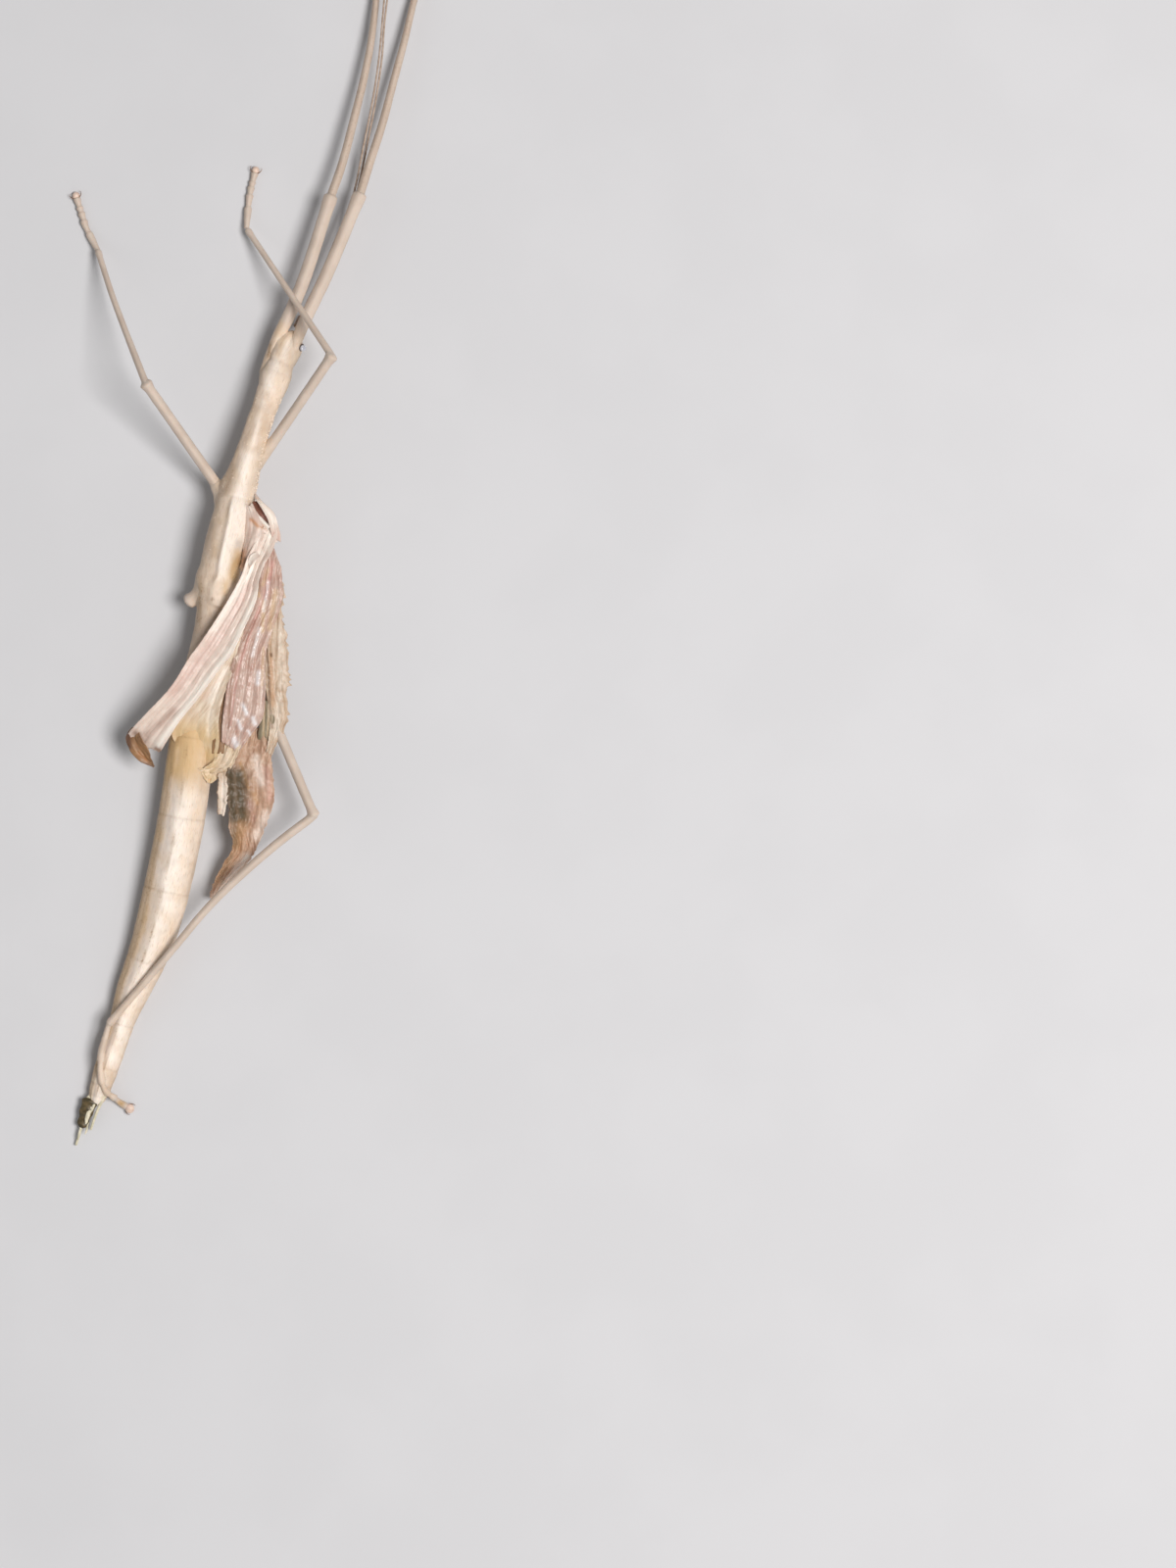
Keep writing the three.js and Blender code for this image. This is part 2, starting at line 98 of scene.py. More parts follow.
def make_lights():
    for row in LIGHTS:
        area_light(*row)
    world = bpy.data.worlds.new("studio")
    world.use_nodes = True
    background = world.node_tree.nodes["Background"]
    background.inputs["Color"].default_value = STUDIO_GREY
    background.inputs["Strength"].default_value = STUDIO_STRENGTH
    bpy.context.scene.world = world
    bpy.context.scene.view_settings.view_transform = "Standard"


# ---- lines and sections ---------------------------------------------------------------------------------
ABOVE_FLOOR = 0.02


def eased(a, into, b, out, share):
    """Between a and b, leaving a at the slope into and reaching b at the slope out."""
    s2, s3 = share * share, share**3
    return a * (2 * s3 - 3 * s2 + 1) + into * (s3 - 2 * s2 + share) + b * (3 * s2 - 2 * s3) + out * (s3 - s2)


def row_before(starts, value):
    """Number of the row that a value lies past, never the last one."""
    return min(max(bisect.bisect_right(starts, value) - 1, 0), len(starts) - 2)


class Line:
    """A smooth line through points in millimetres, measured by shares of its length."""

    STEPS = 24
    SMALLEST_GAP = 1e-6
    FRAME_REACH = 0.3

    def __init__(self, points):
        knots = [Vector(p) for p in points]
        knots = [2 * knots[0] - knots[1], *knots, 2 * knots[-1] - knots[-2]]
        self.points = [knots[1]]
        for i in range(1, len(knots) - 2):
            four = knots[i - 1 : i + 3]
            self.points += [self._between(four, k / self.STEPS) for k in range(1, self.STEPS + 1)]
        self.far = [0.0]
        for a, b in zip(self.points, self.points[1:]):
            self.far.append(self.far[-1] + (b - a).length)
        self.length = self.far[-1]

    def _between(self, p, share):
        """Centripetal spline between the middle two of four points."""
        gaps = [max((b - a).length ** 0.5, self.SMALLEST_GAP) for a, b in zip(p, p[1:])]
        into = (p[1] - p[0]) / gaps[0] - (p[2] - p[0]) / (gaps[0] + gaps[1]) + (p[2] - p[1]) / gaps[1]
        out = (p[2] - p[1]) / gaps[1] - (p[3] - p[1]) / (gaps[1] + gaps[2]) + (p[3] - p[2]) / gaps[2]
        return eased(p[1], into * gaps[1], p[2], out * gaps[1], share)

    def at(self, share):
        """The place at a share of the length, running on straight past the ends."""
        far = share * self.length
        k = row_before(self.far, far)
        gap = self.far[k + 1] - self.far[k]
        return self.points[k].lerp(self.points[k + 1], (far - self.far[k]) / gap)

    def frame(self, share):
        """Centre, direction ahead, to the side and over, at a share. On the body the side is its right."""
        reach = self.FRAME_REACH / self.length
        ahead = (self.at(share + reach) - self.at(share - reach)).normalized()
        side = UP.cross(ahead).normalized()
        return self.at(share), ahead, side, ahead.cross(side)


def smooth_rows(rows, share, column):
    """A row's column at a share, on a smooth curve through the rows that never overshoots them."""
    k = row_before([row[0] for row in rows], share)
    a, b = rows[k], rows[k + 1]
    span = b[0] - a[0]
    t = min(max((share - a[0]) / span, 0), 1)

    def slope(i):
        if i <= 0 or i >= len(rows) - 1:
            return 0.0
        before = (rows[i][column] - rows[i - 1][column]) / (rows[i][0] - rows[i - 1][0])
        after = (rows[i + 1][column] - rows[i][column]) / (rows[i + 1][0] - rows[i][0])
        return 0.0 if before * after <= 0 else 2 * before * after / (before + after)

    return eased(a[column], slope(k) * span, b[column], slope(k + 1) * span, t)


def step(low, high, value):
    """0 below low, 1 above high and smooth between."""
    t = np.clip((value - low) / (high - low), 0, 1)
    return t * t * (3 - 2 * t)


def hump(value, centre, width):
    """1 at the centre, falling away smoothly to both sides."""
    return np.exp(-(((value - centre) / width) ** 2))


def crumple(*places):
    """Smooth noise, about -1 to 1, at each place of three grids of coordinates."""
    grids = np.broadcast_arrays(*places)
    flat = [noise.noise(Vector(p)) for p in zip(*(g.ravel().tolist() for g in grids))]
    return np.array(flat).reshape(grids[0].shape)


def column_of(rows, places, column):
    """A column of the rows at each place, as a grid of the same shape."""
    flat = [smooth_rows(rows, place, column) for place in places.ravel().tolist()]
    return np.array(flat).reshape(places.shape)


def kept_up(lift, line, shares, gap=ABOVE_FLOOR):
    """The lift, held so that it leaves a gap between the line's underside and the floor."""
    heights = np.array([line.at(share).z for share in shares.ravel().tolist()]).reshape(shares.shape)
    return np.maximum(lift, gap - heights)


def even_shares(length, pitch, ends=0.0):
    """Ring shares at an even pitch, with close rings at both ends to round them off."""
    count = max(2, round(length / pitch))
    shares = [i / count for i in range(count + 1)]
    if ends:
        tips = [ends * (1 - math.cos(math.radians(angle))) / length for angle in range(0, 91, 15)]
        shares = tips + [s for s in shares if tips[-1] < s < 1 - tips[-1]] + [1 - s for s in reversed(tips)]
    return shares


def rounding(shares, length, ends):
    """How full a rounded end is: 0 at the very tip and 1 once past the rounding."""
    near = np.clip(np.minimum(shares, 1 - shares) * length / ends, 0, 1)
    return np.sqrt(np.clip(1 - (1 - near) ** 2, 0, 1))


# ---- meshes ---------------------------------------------------------------------------------------------
WELD = 1e-8


def new_bmesh():
    bm = bmesh.new()
    for name in ("along", "around"):
        bm.verts.layers.float.new(name)
    return bm


def new_grid(bm, rows, columns):
    """A flat grid in the bmesh: each of its points with its row and column."""
    points = bmesh.ops.create_grid(bm, x_segments=columns, y_segments=rows, size=1)["verts"]
    return [(v, round((v.co.y + 1) / 2 * rows), round((v.co.x + 1) / 2 * columns)) for v in points]


def tube(bm, line, shares, section, sides, label=0.0):
    """A closed tube along a line. section(shares, angles) gives grids of how far to the side and over."""
    along, around = bm.verts.layers.float["along"], bm.verts.layers.float["around"]
    grid = new_grid(bm, len(shares) - 1, sides)
    angles = np.linspace(-math.pi / 2, math.pi * 1.5, sides + 1)
    out, lift = section(np.array(shares)[:, None], angles[None, :])
    frames = [line.frame(share) for share in shares]
    for v, i, j in grid:
        centre, _, side, over = frames[i]
        v.co = (centre + side * float(out[i, j]) + over * float(lift[i, j])) * MM
        v[along], v[around] = label + shares[i] * line.length, angles[j]
    bmesh.ops.remove_doubles(bm, verts=[v for v, _, _ in grid], dist=WELD)


def ball(bm, centre, radius, squash=(1, 1, 1), turn=None, detail=24):
    rows = detail // 2
    verts = bmesh.ops.create_uvsphere(bm, u_segments=detail, v_segments=rows, radius=radius * MM)["verts"]
    place = Matrix.Translation(Vector(centre) * MM) @ (turn or Matrix.Identity(4))
    bmesh.ops.transform(bm, matrix=place @ Matrix.Diagonal((*squash, 1)), verts=verts)
    return verts


def new_piece(bm, name, material):
    """The bmesh as an object with its material."""
    mesh = bpy.data.meshes.new(name)
    bm.to_mesh(mesh)
    bm.free()
    mesh.materials.append(material)
    piece = bpy.data.objects.new(name, mesh)
    bpy.context.collection.objects.link(piece)
    return piece


def finish_mesh(bm, name, material, replaced=()):
    """The bmesh as a smooth piece that rides on the animal and stands for the named solids."""
    bmesh.ops.recalc_face_normals(bm, faces=bm.faces)
    piece = new_piece(bm, name, material)
    piece.data.shade_smooth()
    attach(piece, "root")
    if replaced:
        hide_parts(*replaced)
    return piece


# ---- finishes -------------------------------------------------------------------------------------------
def tint(red, green, blue):
    """A screen colour, 0 to 255, as the shader wants it."""
    levels = [colour / 255 for colour in (red, green, blue)]
    return (*(level / 12.92 if level <= 0.04 else ((level + 0.055) / 1.055) ** 2.4 for level in levels), 1)


def node(tree, kind, sockets=None, **settings):
    made = tree.nodes.new("ShaderNode" + kind)
    for name, value in settings.items():
        setattr(made, name, value)
    for name, value in (sockets or {}).items():
        if isinstance(value, bpy.types.NodeSocket):
            tree.links.new(value, made.inputs[name])
        else:
            made.inputs[name].default_value = value
    return made


def maths(tree, operation, a, b):
    return node(tree, "Math", {0: a, 1: b}, operation=operation).outputs[0]


def times(tree, a, b):
    return maths(tree, "MULTIPLY", a, b)


def plus(tree, a, b):
    return maths(tree, "ADD", a, b)


def mixed(tree, share, a, b):
    return node(tree, "Mix", {0: share, 6: a, 7: b}, data_type="RGBA").outputs[2]


def layered(tree, colour, layers):
    """A colour with others laid over it in turn, each by its own mask and share."""
    for mask, share, over in layers:
        colour = mixed(tree, times(tree, mask, share), colour, tint(*over))
    return colour


def attributes(tree, *names):
    return (node(tree, "Attribute", attribute_name=name).outputs["Fac"] for name in names)


def noise_mask(tree, where, scale, detail, low, high, roughness=0.5):
    """Smooth noise that fades from 0 at the low level to 1 at the high one."""
    sockets = {"Vector": where, "Scale": scale, "Detail": detail, "Roughness": roughness}
    level = node(tree, "TexNoise", sockets).outputs["Fac"]
    return node(tree, "MapRange", {0: level, 1: low, 2: high}, interpolation_type="SMOOTHSTEP").outputs[0]


def new_group(name, inputs, outputs):
    """A group of nodes: its tree, the sockets that it is given and the sockets that it fills."""
    tree = bpy.data.node_groups.new(name, "ShaderNodeTree")
    for label, kind, value in inputs:
        socket = tree.interface.new_socket(label, in_out="INPUT", socket_type="NodeSocket" + kind)
        if value is not None:
            socket.default_value = value
    for label in outputs:
        tree.interface.new_socket(label, in_out="OUTPUT", socket_type="NodeSocketFloat")
    return tree, tree.nodes.new("NodeGroupInput").outputs, tree.nodes.new("NodeGroupOutput").inputs


def make_mottle_group():
    """Soft blotches: one mask of large patches, one of small freckles."""
    inputs = [("Vector", "Vector", None), ("Patches", "Float", 400.0), ("Freckles", "Float", 5000.0)]
    tree, given, made = new_group("mottle", inputs, ["Patch", "Freckle"])
    tree.links.new(noise_mask(tree, given["Vector"], given["Patches"], 4.0, 0.38, 0.64), made["Patch"])
    tree.links.new(noise_mask(tree, given["Vector"], given["Freckles"], 2.0, 0.56, 0.66), made["Freckle"])
    return tree


def make_streak_group():
    """Fine lines that run along a surface: across and along are its own millimetres."""
    usual = {"Across": 0.0, "Along": 0.0, "Fine": 3.0, "Long": 0.15}
    inputs = [(name, "Float", value) for name, value in usual.items()]
    tree, given, made = new_group("streaks", inputs, ["Band", "Line"])
    across = times(tree, given["Across"], given["Fine"])
    along = times(tree, given["Along"], given["Long"])
    where = node(tree, "CombineXYZ", {"X": across, "Y": along}).outputs[0]
    tree.links.new(noise_mask(tree, where, 1.0, 3.0, 0.35, 0.65, 0.6), made["Band"])
    tree.links.new(noise_mask(tree, where, 3.3, 2.0, 0.55, 0.68), made["Line"])
    return tree


def make_grain_group():
    """Height of a finely pebbled hide."""
    inputs = [("Vector", "Vector", None), ("Scale", "Float", 6000.0)]
    tree, given, made = new_group("grain", inputs, ["Height"])
    sockets = {"Vector": given["Vector"], "Scale": given["Scale"]}
    pebbles = node(tree, "TexVoronoi", sockets, feature="SMOOTH_F1").outputs["Distance"]
    dust = node(tree, "TexNoise", {**sockets, "Detail": 5.0}).outputs["Fac"]
    tree.links.new(plus(tree, times(tree, pebbles, -0.7), dust), made["Height"])
    return tree


MOTTLE, STREAKS, GRAIN = make_mottle_group(), make_streak_group(), make_grain_group()


def use_group(tree, group, sockets):
    return node(tree, "Group", sockets, node_tree=group).outputs


def use_streaks(tree, fine, long):
    across, along = attributes(tree, "around", "along")
    return use_group(tree, STREAKS, {"Across": across, "Along": along, "Fine": fine, "Long": long})


def new_material(name, roughness, **plain):
    """A material with its shader, whose plain sockets are set by name."""
    material = bpy.data.materials.new(name)
    material.use_nodes = True
    shader = material.node_tree.nodes["Principled BSDF"]
    shader.inputs["Roughness"].default_value = roughness
    for socket, value in plain.items():
        shader.inputs[socket.replace("_", " ")].default_value = value
    return material, material.node_tree, shader


def set_bump(tree, shader, height, strength, distance):
    bump = node(tree, "Bump", {"Height": height, "Strength": strength, "Distance": distance})
    tree.links.new(bump.outputs[0], shader.inputs["Normal"])


def set_roughness(tree, shader, mask, low, high):
    rough = node(tree, "MapRange", {0: mask, 3: low, 4: high})
    tree.links.new(rough.outputs[0], shader.inputs["Roughness"])


MASKS = ("dark", "pale", "rosy", "ochre")
SKIN_GLOW = {"Subsurface_Weight": 0.12, "Subsurface_Radius": (0.9, 0.5, 0.3), "Subsurface_Scale": 0.0006}
WING_GLOW = {"Subsurface_Weight": 0.15, "Subsurface_Radius": (0.9, 0.5, 0.4), "Subsurface_Scale": 0.0005}
WING_VARNISH = {"Coat_Weight": 0.12, "Coat_Roughness": 0.3}
HIDE_TAN = (206, 184, 162)
HIDE_SAND = (226, 206, 186)
HIDE_LINE = (186, 158, 132)
HIDE_CREAM = (249, 238, 226)
HIDE_ROSE = (197, 183, 172)
HIDE_OCHRE = (208, 173, 122)
HIDE_BROWN = (130, 98, 60)
WING_BLUSH = (204, 158, 148)


def hide_material():
    """The insect's hide: tan, with cream, rose, ochre and brown laid over it by masks that hold its markings,
    painted shade and painted highlights.
    """
    material, tree, shader = new_material("hide", 0.5, Specular_IOR_Level=0.3, **SKIN_GLOW)
    where = node(tree, "TexCoord").outputs["Object"]
    mottle = use_group(tree, MOTTLE, {"Vector": where, "Patches": 450.0, "Freckles": 4200.0})
    streaks = use_streaks(tree, 6.0, 0.35)
    dark, pale, rosy, ochre = attributes(tree, *MASKS)
    pale_share = maths(tree, "SUBTRACT", 0.92, times(tree, streaks["Line"], 0.4))
    speckle = plus(tree, times(tree, mottle["Freckle"], 0.45), times(tree, streaks["Band"], 0.3))
    tan = layered(tree, mixed(tree, mottle["Patch"], tint(*HIDE_TAN), tint(*HIDE_SAND)), [
        (streaks["Line"], 0.5, HIDE_LINE),
        (pale, pale_share, HIDE_CREAM),
        (rosy, 0.85, HIDE_ROSE),
        (ochre, 0.85, HIDE_OCHRE),
        (dark, plus(tree, speckle, 0.45), HIDE_BROWN),
    ])
    tree.links.new(tan, shader.inputs["Base Color"])
    grain = use_group(tree, GRAIN, {"Vector": where, "Scale": 5200.0})
    set_bump(tree, shader, plus(tree, grain["Height"], times(tree, streaks["Band"], 0.8)), 0.35, 0.00004)
    set_roughness(tree, shader, mottle["Patch"], 0.5, 0.66)
    return material


def wing_material(name, base, band, line, gloss, veins=0.3, fine=2.2, brown=(118, 78, 50),
                  light=(250, 240, 228), ochre_tone=(190, 128, 74), wet=0.0):
    """Wing skin: bands and thin veins run from its root, and masks tint it rosy, ochre, pale and brown; on
    some pieces the pale is painted glints and the brown and ochre painted shade.
    """
    material, tree, shader = new_material(name, gloss, **WING_GLOW, **WING_VARNISH)
    where = node(tree, "TexCoord").outputs["Object"]
    streaks = use_streaks(tree, fine, 0.12)
    mottle = use_group(tree, MOTTLE, {"Vector": where, "Patches": 700.0, "Freckles": 3800.0})
    dark, pale, rosy, ochre = attributes(tree, *MASKS)
    colour = layered(tree, mixed(tree, streaks["Band"], tint(*base), tint(*band)), [
        (mottle["Patch"], 0.25, line),
        (streaks["Line"], veins, line),
        (rosy, 0.8, WING_BLUSH),
        (ochre, 0.85, ochre_tone),
        (pale, 0.85, light),
        (dark, 0.92, brown),
    ])
    tree.links.new(colour, shader.inputs["Base Color"])
    grain = use_group(tree, GRAIN, {"Vector": where, "Scale": 3600.0})
    set_bump(tree, shader, plus(tree, times(tree, grain["Height"], 0.5), streaks["Band"]), 0.5, 0.00006)
    set_roughness(tree, shader, pale, gloss, gloss - wet)
    return material


def plain_material(name, base, other, roughness, scale=2500.0, strength=0.3, **plain):
    """A small part's finish: two close colours in soft blotches, over a fine grain."""
    material, tree, shader = new_material(name, roughness, **plain)
    where = node(tree, "TexCoord").outputs["Object"]
    mottle = use_group(tree, MOTTLE, {"Vector": where, "Patches": scale, "Freckles": scale * 3})
    tree.links.new(mixed(tree, mottle["Patch"], tint(*base), tint(*other)), shader.inputs["Base Color"])
    grain = use_group(tree, GRAIN, {"Vector": where, "Scale": scale * 2})
    set_bump(tree, shader, grain["Height"], strength, 0.00003)
    return material


HIDE = hide_material()
WING_CREAM = wing_material("wing_cream", (228, 210, 197), (216, 194, 181), (180, 150, 134), 0.42, fine=2.8)
# The rose wing's near-white pale colour is laid on as painted glints.
WING_ROSE = wing_material("wing_rose", (205, 182, 169), (188, 158, 144), (158, 106, 90), 0.34, veins=0.45,
                          fine=2.8, light=(238, 232, 232), ochre_tone=(206, 176, 136), wet=0.22)
WING_RAG = wing_material("wing_rag", (208, 187, 166), (188, 163, 137), (140, 106, 76), 0.5, veins=0.45,
                         fine=3.2, brown=(96, 66, 40))
WING_TAN = wing_material("wing_tan", (224, 205, 184), (208, 186, 162), (166, 134, 108), 0.45, veins=0.4,
                         brown=(120, 84, 54), ochre_tone=(211, 177, 126))
WING_LOBE = wing_material("wing_lobe", (198, 166, 142), (178, 144, 118), (138, 92, 66), 0.55, veins=0.5,
                          fine=2.6, brown=(60, 52, 26), ochre_tone=(190, 148, 106), light=(240, 226, 216),
                          wet=0.15)
WING_OLIVE = wing_material("wing_olive", (122, 114, 92), (150, 136, 112), (88, 76, 58), 0.5, veins=0.5,
                           ochre_tone=(196, 166, 128))
# A dark red-brown finish for the sheet in the hood's hollow: painted shade.
WING_SHADE = wing_material("wing_painted_shade", (152, 98, 78), (124, 78, 60), (82, 50, 40), 0.5, veins=0.4,
                          brown=(70, 42, 30))
WING_BROWN = wing_material("wing_brown_skin", (156, 118, 80), (134, 98, 64), (92, 62, 40), 0.55, veins=0.5,
                           brown=(70, 44, 32))
FEELER_FINISH = plain_material("feeler", (178, 158, 142), (154, 132, 114), 0.5)
EYE_FINISH = plain_material("eye", (236, 238, 244), (190, 192, 206), 0.08, 6000.0, 0.1, Coat_Weight=0.8,
                            Coat_Roughness=0.05)
EYE_RIM = plain_material("eye_rim", (70, 58, 56), (100, 84, 74), 0.4)
MOUTH_FINISH = plain_material("mouth", (170, 126, 86), (140, 98, 62), 0.4)
CLAW_FINISH = plain_material("claw", (104, 72, 52), (142, 104, 76), 0.3)
PAD_FINISH = plain_material("foot_pad", (224, 200, 184), (208, 182, 166), 0.45, **SKIN_GLOW)
HIDE_GRAIN = plain_material("hide_grain", (238, 222, 204), (222, 202, 180), 0.5)
TAIL_DARK = plain_material("tail_dark", (62, 54, 32), (96, 80, 50), 0.45)
TAIL_PALE = plain_material("tail_pale", (220, 210, 184), (196, 190, 164), 0.45)


def set_mask(piece, name, values):
    layer = piece.data.attributes.new(name, "FLOAT", "POINT")
    layer.data.foreach_set("value", np.clip(values, 0, 1).astype(np.float32))


def points_of(piece):
    count = len(piece.data.vertices)
    flat = np.empty(count * 3, np.float32)
    piece.data.vertices.foreach_get("co", flat)
    return flat.reshape(-1, 3) / MM


def layer_of(piece, name):
    values = np.empty(len(piece.data.vertices), np.float32)
    piece.data.attributes[name].data.foreach_get("value", values)
    return values


SMALLEST_RUN = 1e-9


def strokes(points, marks):
    """How much soft strokes cover each point in plan. A stroke is (x0, y0, x1, y1, radius, strength)."""
    cover = np.zeros(len(points))
    for x0, y0, x1, y1, radius, strength in marks:
        a, run = np.array((x0, y0)), np.array((x1 - x0, y1 - y0))
        share = np.clip(((points[:, :2] - a) @ run) / max(run @ run, SMALLEST_RUN), 0, 1)
        far = np.linalg.norm(points[:, :2] - a - share[:, None] * run, axis=1)
        cover = np.maximum(cover, strength * np.exp(-((far / radius) ** 2)))
    return cover


# ---- the body -------------------------------------------------------------------------------------------
BODY_LINE = Line([
    (3.8, 16.2, 2.9), (2.9, 14.3, 3.1), (2.1, 12.4, 3.5), (1.2, 9.8, 3.9), (-0.5, 4.8, 4.3),
    (-1.85, 0.1, 4.4), (-3.2, -5.6, 4.45), (-4.25, -10.4, 4.2), (-4.85, -14.2, 4.0), (-5.8, -18.5, 3.75),
    (-6.75, -25.0, 3.4), (-7.35, -30.0, 3.1), (-8.4, -36.0, 2.5), (-10.9, -46.0, 1.75), (-13.3, -52.0, 1.35),
    (-16.1, -60.2, 1.0), (-17.0, -63.0, 0.9),
])
BODY_NODES = ["head", "prothorax", "mesothorax", "metathorax", "median_segment"]
BODY_NODES += [f"abdomen_{i}" for i in range(2, 11)]
BODY_LENGTHS = [3.7, 2.75, 11.55, 9.9, 6.4, 8.3, 8.1, 7.7, 7.5, 6.9, 4.7, 1.8, 1.2, 1.1]
BODY_TOTAL = sum(BODY_LENGTHS)
SEAMS = [sum(BODY_LENGTHS[: i + 1]) for i in range(len(BODY_LENGTHS) - 1)]
NECK, WAIST, WING_ROOT, MEDIAN, BELLY = SEAMS[:5]

# Rows of [millimetres from the brow, width, height].
BODY_PROFILE = [
    (0.0, 1.5, 1.3), (0.5, 1.9, 1.6), (1.3, 2.6, 2.15), (2.2, 2.9, 2.4), (3.1, 2.85, 2.35), (3.7, 2.6, 2.2),
    (4.4, 2.75, 2.4), (5.3, 2.87, 2.5), (6.2, 2.75, 2.4), (7.8, 2.62, 2.3), (8.85, 2.5, 2.25),
    (10.2, 2.58, 2.4), (11.3, 2.56, 2.5), (14.0, 2.85, 2.85), (15.0, 3.1, 3.0), (17.0, 3.5, 3.25),
    (18.1, 3.65, 3.4), (20.0, 4.0, 3.8), (22.9, 4.3, 4.1), (25.8, 4.15, 3.9), (27.4, 3.6, 3.4),
    (28.3, 3.2, 2.9), (29.3, 3.3, 3.0), (33.0, 3.25, 3.0), (37.0, 3.5, 3.1), (42.6, 4.4, 3.5),
    (46.0, 4.7, 3.8), (50.7, 4.78, 3.9), (54.5, 4.75, 3.85), (58.4, 4.7, 3.8), (62.0, 4.5, 3.6),
    (65.9, 4.0, 3.3), (69.0, 3.5, 3.0), (72.8, 2.6, 2.6), (77.5, 2.45, 2.35), (79.3, 2.2, 2.1),
    (80.5, 1.85, 1.6), (81.6, 1.2, 1.0),
]
# Rows of [place, half width, offset] of the back plate.
RIDGE = [(17.8, 0.7, 0.5), (18.85, 0.85, 0.6), (20.7, 1.1, 0.98), (22.6, 1.05, 0.96), (24.5, 0.68, 0.63),
         (26.0, 0.62, 0.66), (27.3, 0.98, 0.6), (28.3, 1.0, 0.6), (29.4, 0.9, 0.58)]
PLATE_END = MEDIAN + 1.25
PLATE_ROUNDING = 1.1
PLATE_HEIGHT = 0.34
THINNEST_PLATE = 0.001
FRONT_SEAM_DEPTH = 0.05
BELLY_SEAM_DEPTH = 0.028
BODY_END_ROUNDING = 0.75
BODY_SIDES = 72
BODY_PITCH = 0.13


def keel(angle, width):
    """How near an angle round the body is to its top."""
    return hump(angle - math.pi / 2, 0, width)


def body_relief(far, angle):
    """Millimetres that the body's hide stands out from its plain section."""
    lift = np.zeros(np.broadcast(far, angle).shape)
    top, side = np.sin(angle), np.abs(np.cos(angle))
    # A groove at every seam with a low rim behind it; the back plate runs on over the seam that it crosses.
    for seam in SEAMS:
        deep = FRONT_SEAM_DEPTH if seam <= MEDIAN else BELLY_SEAM_DEPTH
        off_plate = 1 - step(0.1, 0.5, top) * (seam == MEDIAN)
        lift += (0.6 * deep * hump(far, seam + 0.38, 0.3) - deep * hump(far, seam, 0.11)) * off_plate
    # The abdomen's keel, the crease along its flanks and fine ridges lengthwise.
    abdomen = step(BELLY - 0.5, BELLY + 1, far)
    fine = 0.02 * np.cos(14 * angle) * (top > -0.3)
    lift += abdomen * (0.05 * keel(angle, 0.2) - 0.09 * hump(top, -0.25, 0.14) + fine)
    # The long middle of the thorax: its keel and a ridge along each side.
    shaft = step(WAIST, WAIST + 1.5, far) * (1 - step(WING_ROOT - 1.5, WING_ROOT, far))
    lift += shaft * (0.07 * keel(angle, 0.3) + 0.05 * hump(side, 0.85, 0.12))
    # The furrow across the neck shield, the cheeks and the furrow down the brow.
    lift -= 0.05 * hump(far, NECK + 1.1, 0.18) * step(0, 0.5, top)
    cheeks = 0.10 * hump(far, 1.5, 0.7) * hump(side, 0.9, 0.25)
    lift += cheeks - 0.07 * keel(angle, 0.15) * hump(far, 1.3, 0.8)
    # The swellings on the left where the lost hind leg and the middle leg are rooted.
    hind_root = 0.25 * hump(far, 26.6, 0.9) * hump(angle, 2.75, 0.5)
    middle_root = 0.2 * hump(far, 16.6, 0.8) * hump(angle, 3.0, 0.35)
    return lift + (hind_root + middle_root)


def plate_place(far, angle, wide):
    """A point's place on the back plate: across from its middle, its half width, and 1 on it or 0 off it."""
    half, offset = column_of(RIDGE, far, 1), column_of(RIDGE, far, 2)
    into_end = np.clip((far - PLATE_END + PLATE_ROUNDING) / PLATE_ROUNDING, 0, 1)
    round_end = np.sqrt(np.clip(1 - into_end**2, 0, 1))
    along = step(WING_ROOT - 0.5, WING_ROOT + 1.2, far) * (far < PLATE_END) * (np.sin(angle) > 0)
    return np.cos(angle) * wide - offset, half * round_end + THINNEST_PLATE, along


def back_plate(far, angle, wide):
    """The raised plate down the wing-bearing part: flat on top, sharp down its left, with a round end."""
    across, half, along = plate_place(far, angle, wide)
    left, right = -across - half, across - half
    # Both edges soften towards the round end. A fine rim runs down the left, and a gutter down the right.
    soft = 0.3 * step(MEDIAN - 2, MEDIAN, far)
    top = (1 - step(-0.1 - soft, 0.45 + soft, left)) * (1 - step(-0.15, 0.3 + soft, right))
    rim = 0.06 * hump(left, -0.12, 0.12) * (1 - step(MEDIAN - 2, MEDIAN, far))
    gutter = 0.16 * hump(right, 0.45, 0.22) * (1 - 3 * soft)
    high = PLATE_HEIGHT - 0.08 * step(MEDIAN - 2.5, MEDIAN, far)
    return (high * top + rim - gutter) * along


def body_section(shares, angles):
    """Section of the body: an oval by its profile, with its relief, fine creases and the back plate."""
    far = shares * BODY_TOTAL
    end = rounding(shares, BODY_TOTAL, BODY_END_ROUNDING)
    wide, high = column_of(BODY_PROFILE, far, 1) / 2, column_of(BODY_PROFILE, far, 2) / 2
    crinkle = 0.03 * crumple(angles * 2.2, far * 0.9, 3.0) + 0.012 * crumple(angles * 7, far * 3, 9.0)
    out = body_relief(far, angles) + crinkle
    lift = (np.sin(angles) * (high + out) + back_plate(far, angles, wide)) * end
    return np.cos(angles) * (wide + out) * end, kept_up(lift, BODY_LINE, shares)


def add_body(bm):
    tube(bm, BODY_LINE, even_shares(BODY_TOTAL, BODY_PITCH, BODY_END_ROUNDING), body_section, BODY_SIDES)


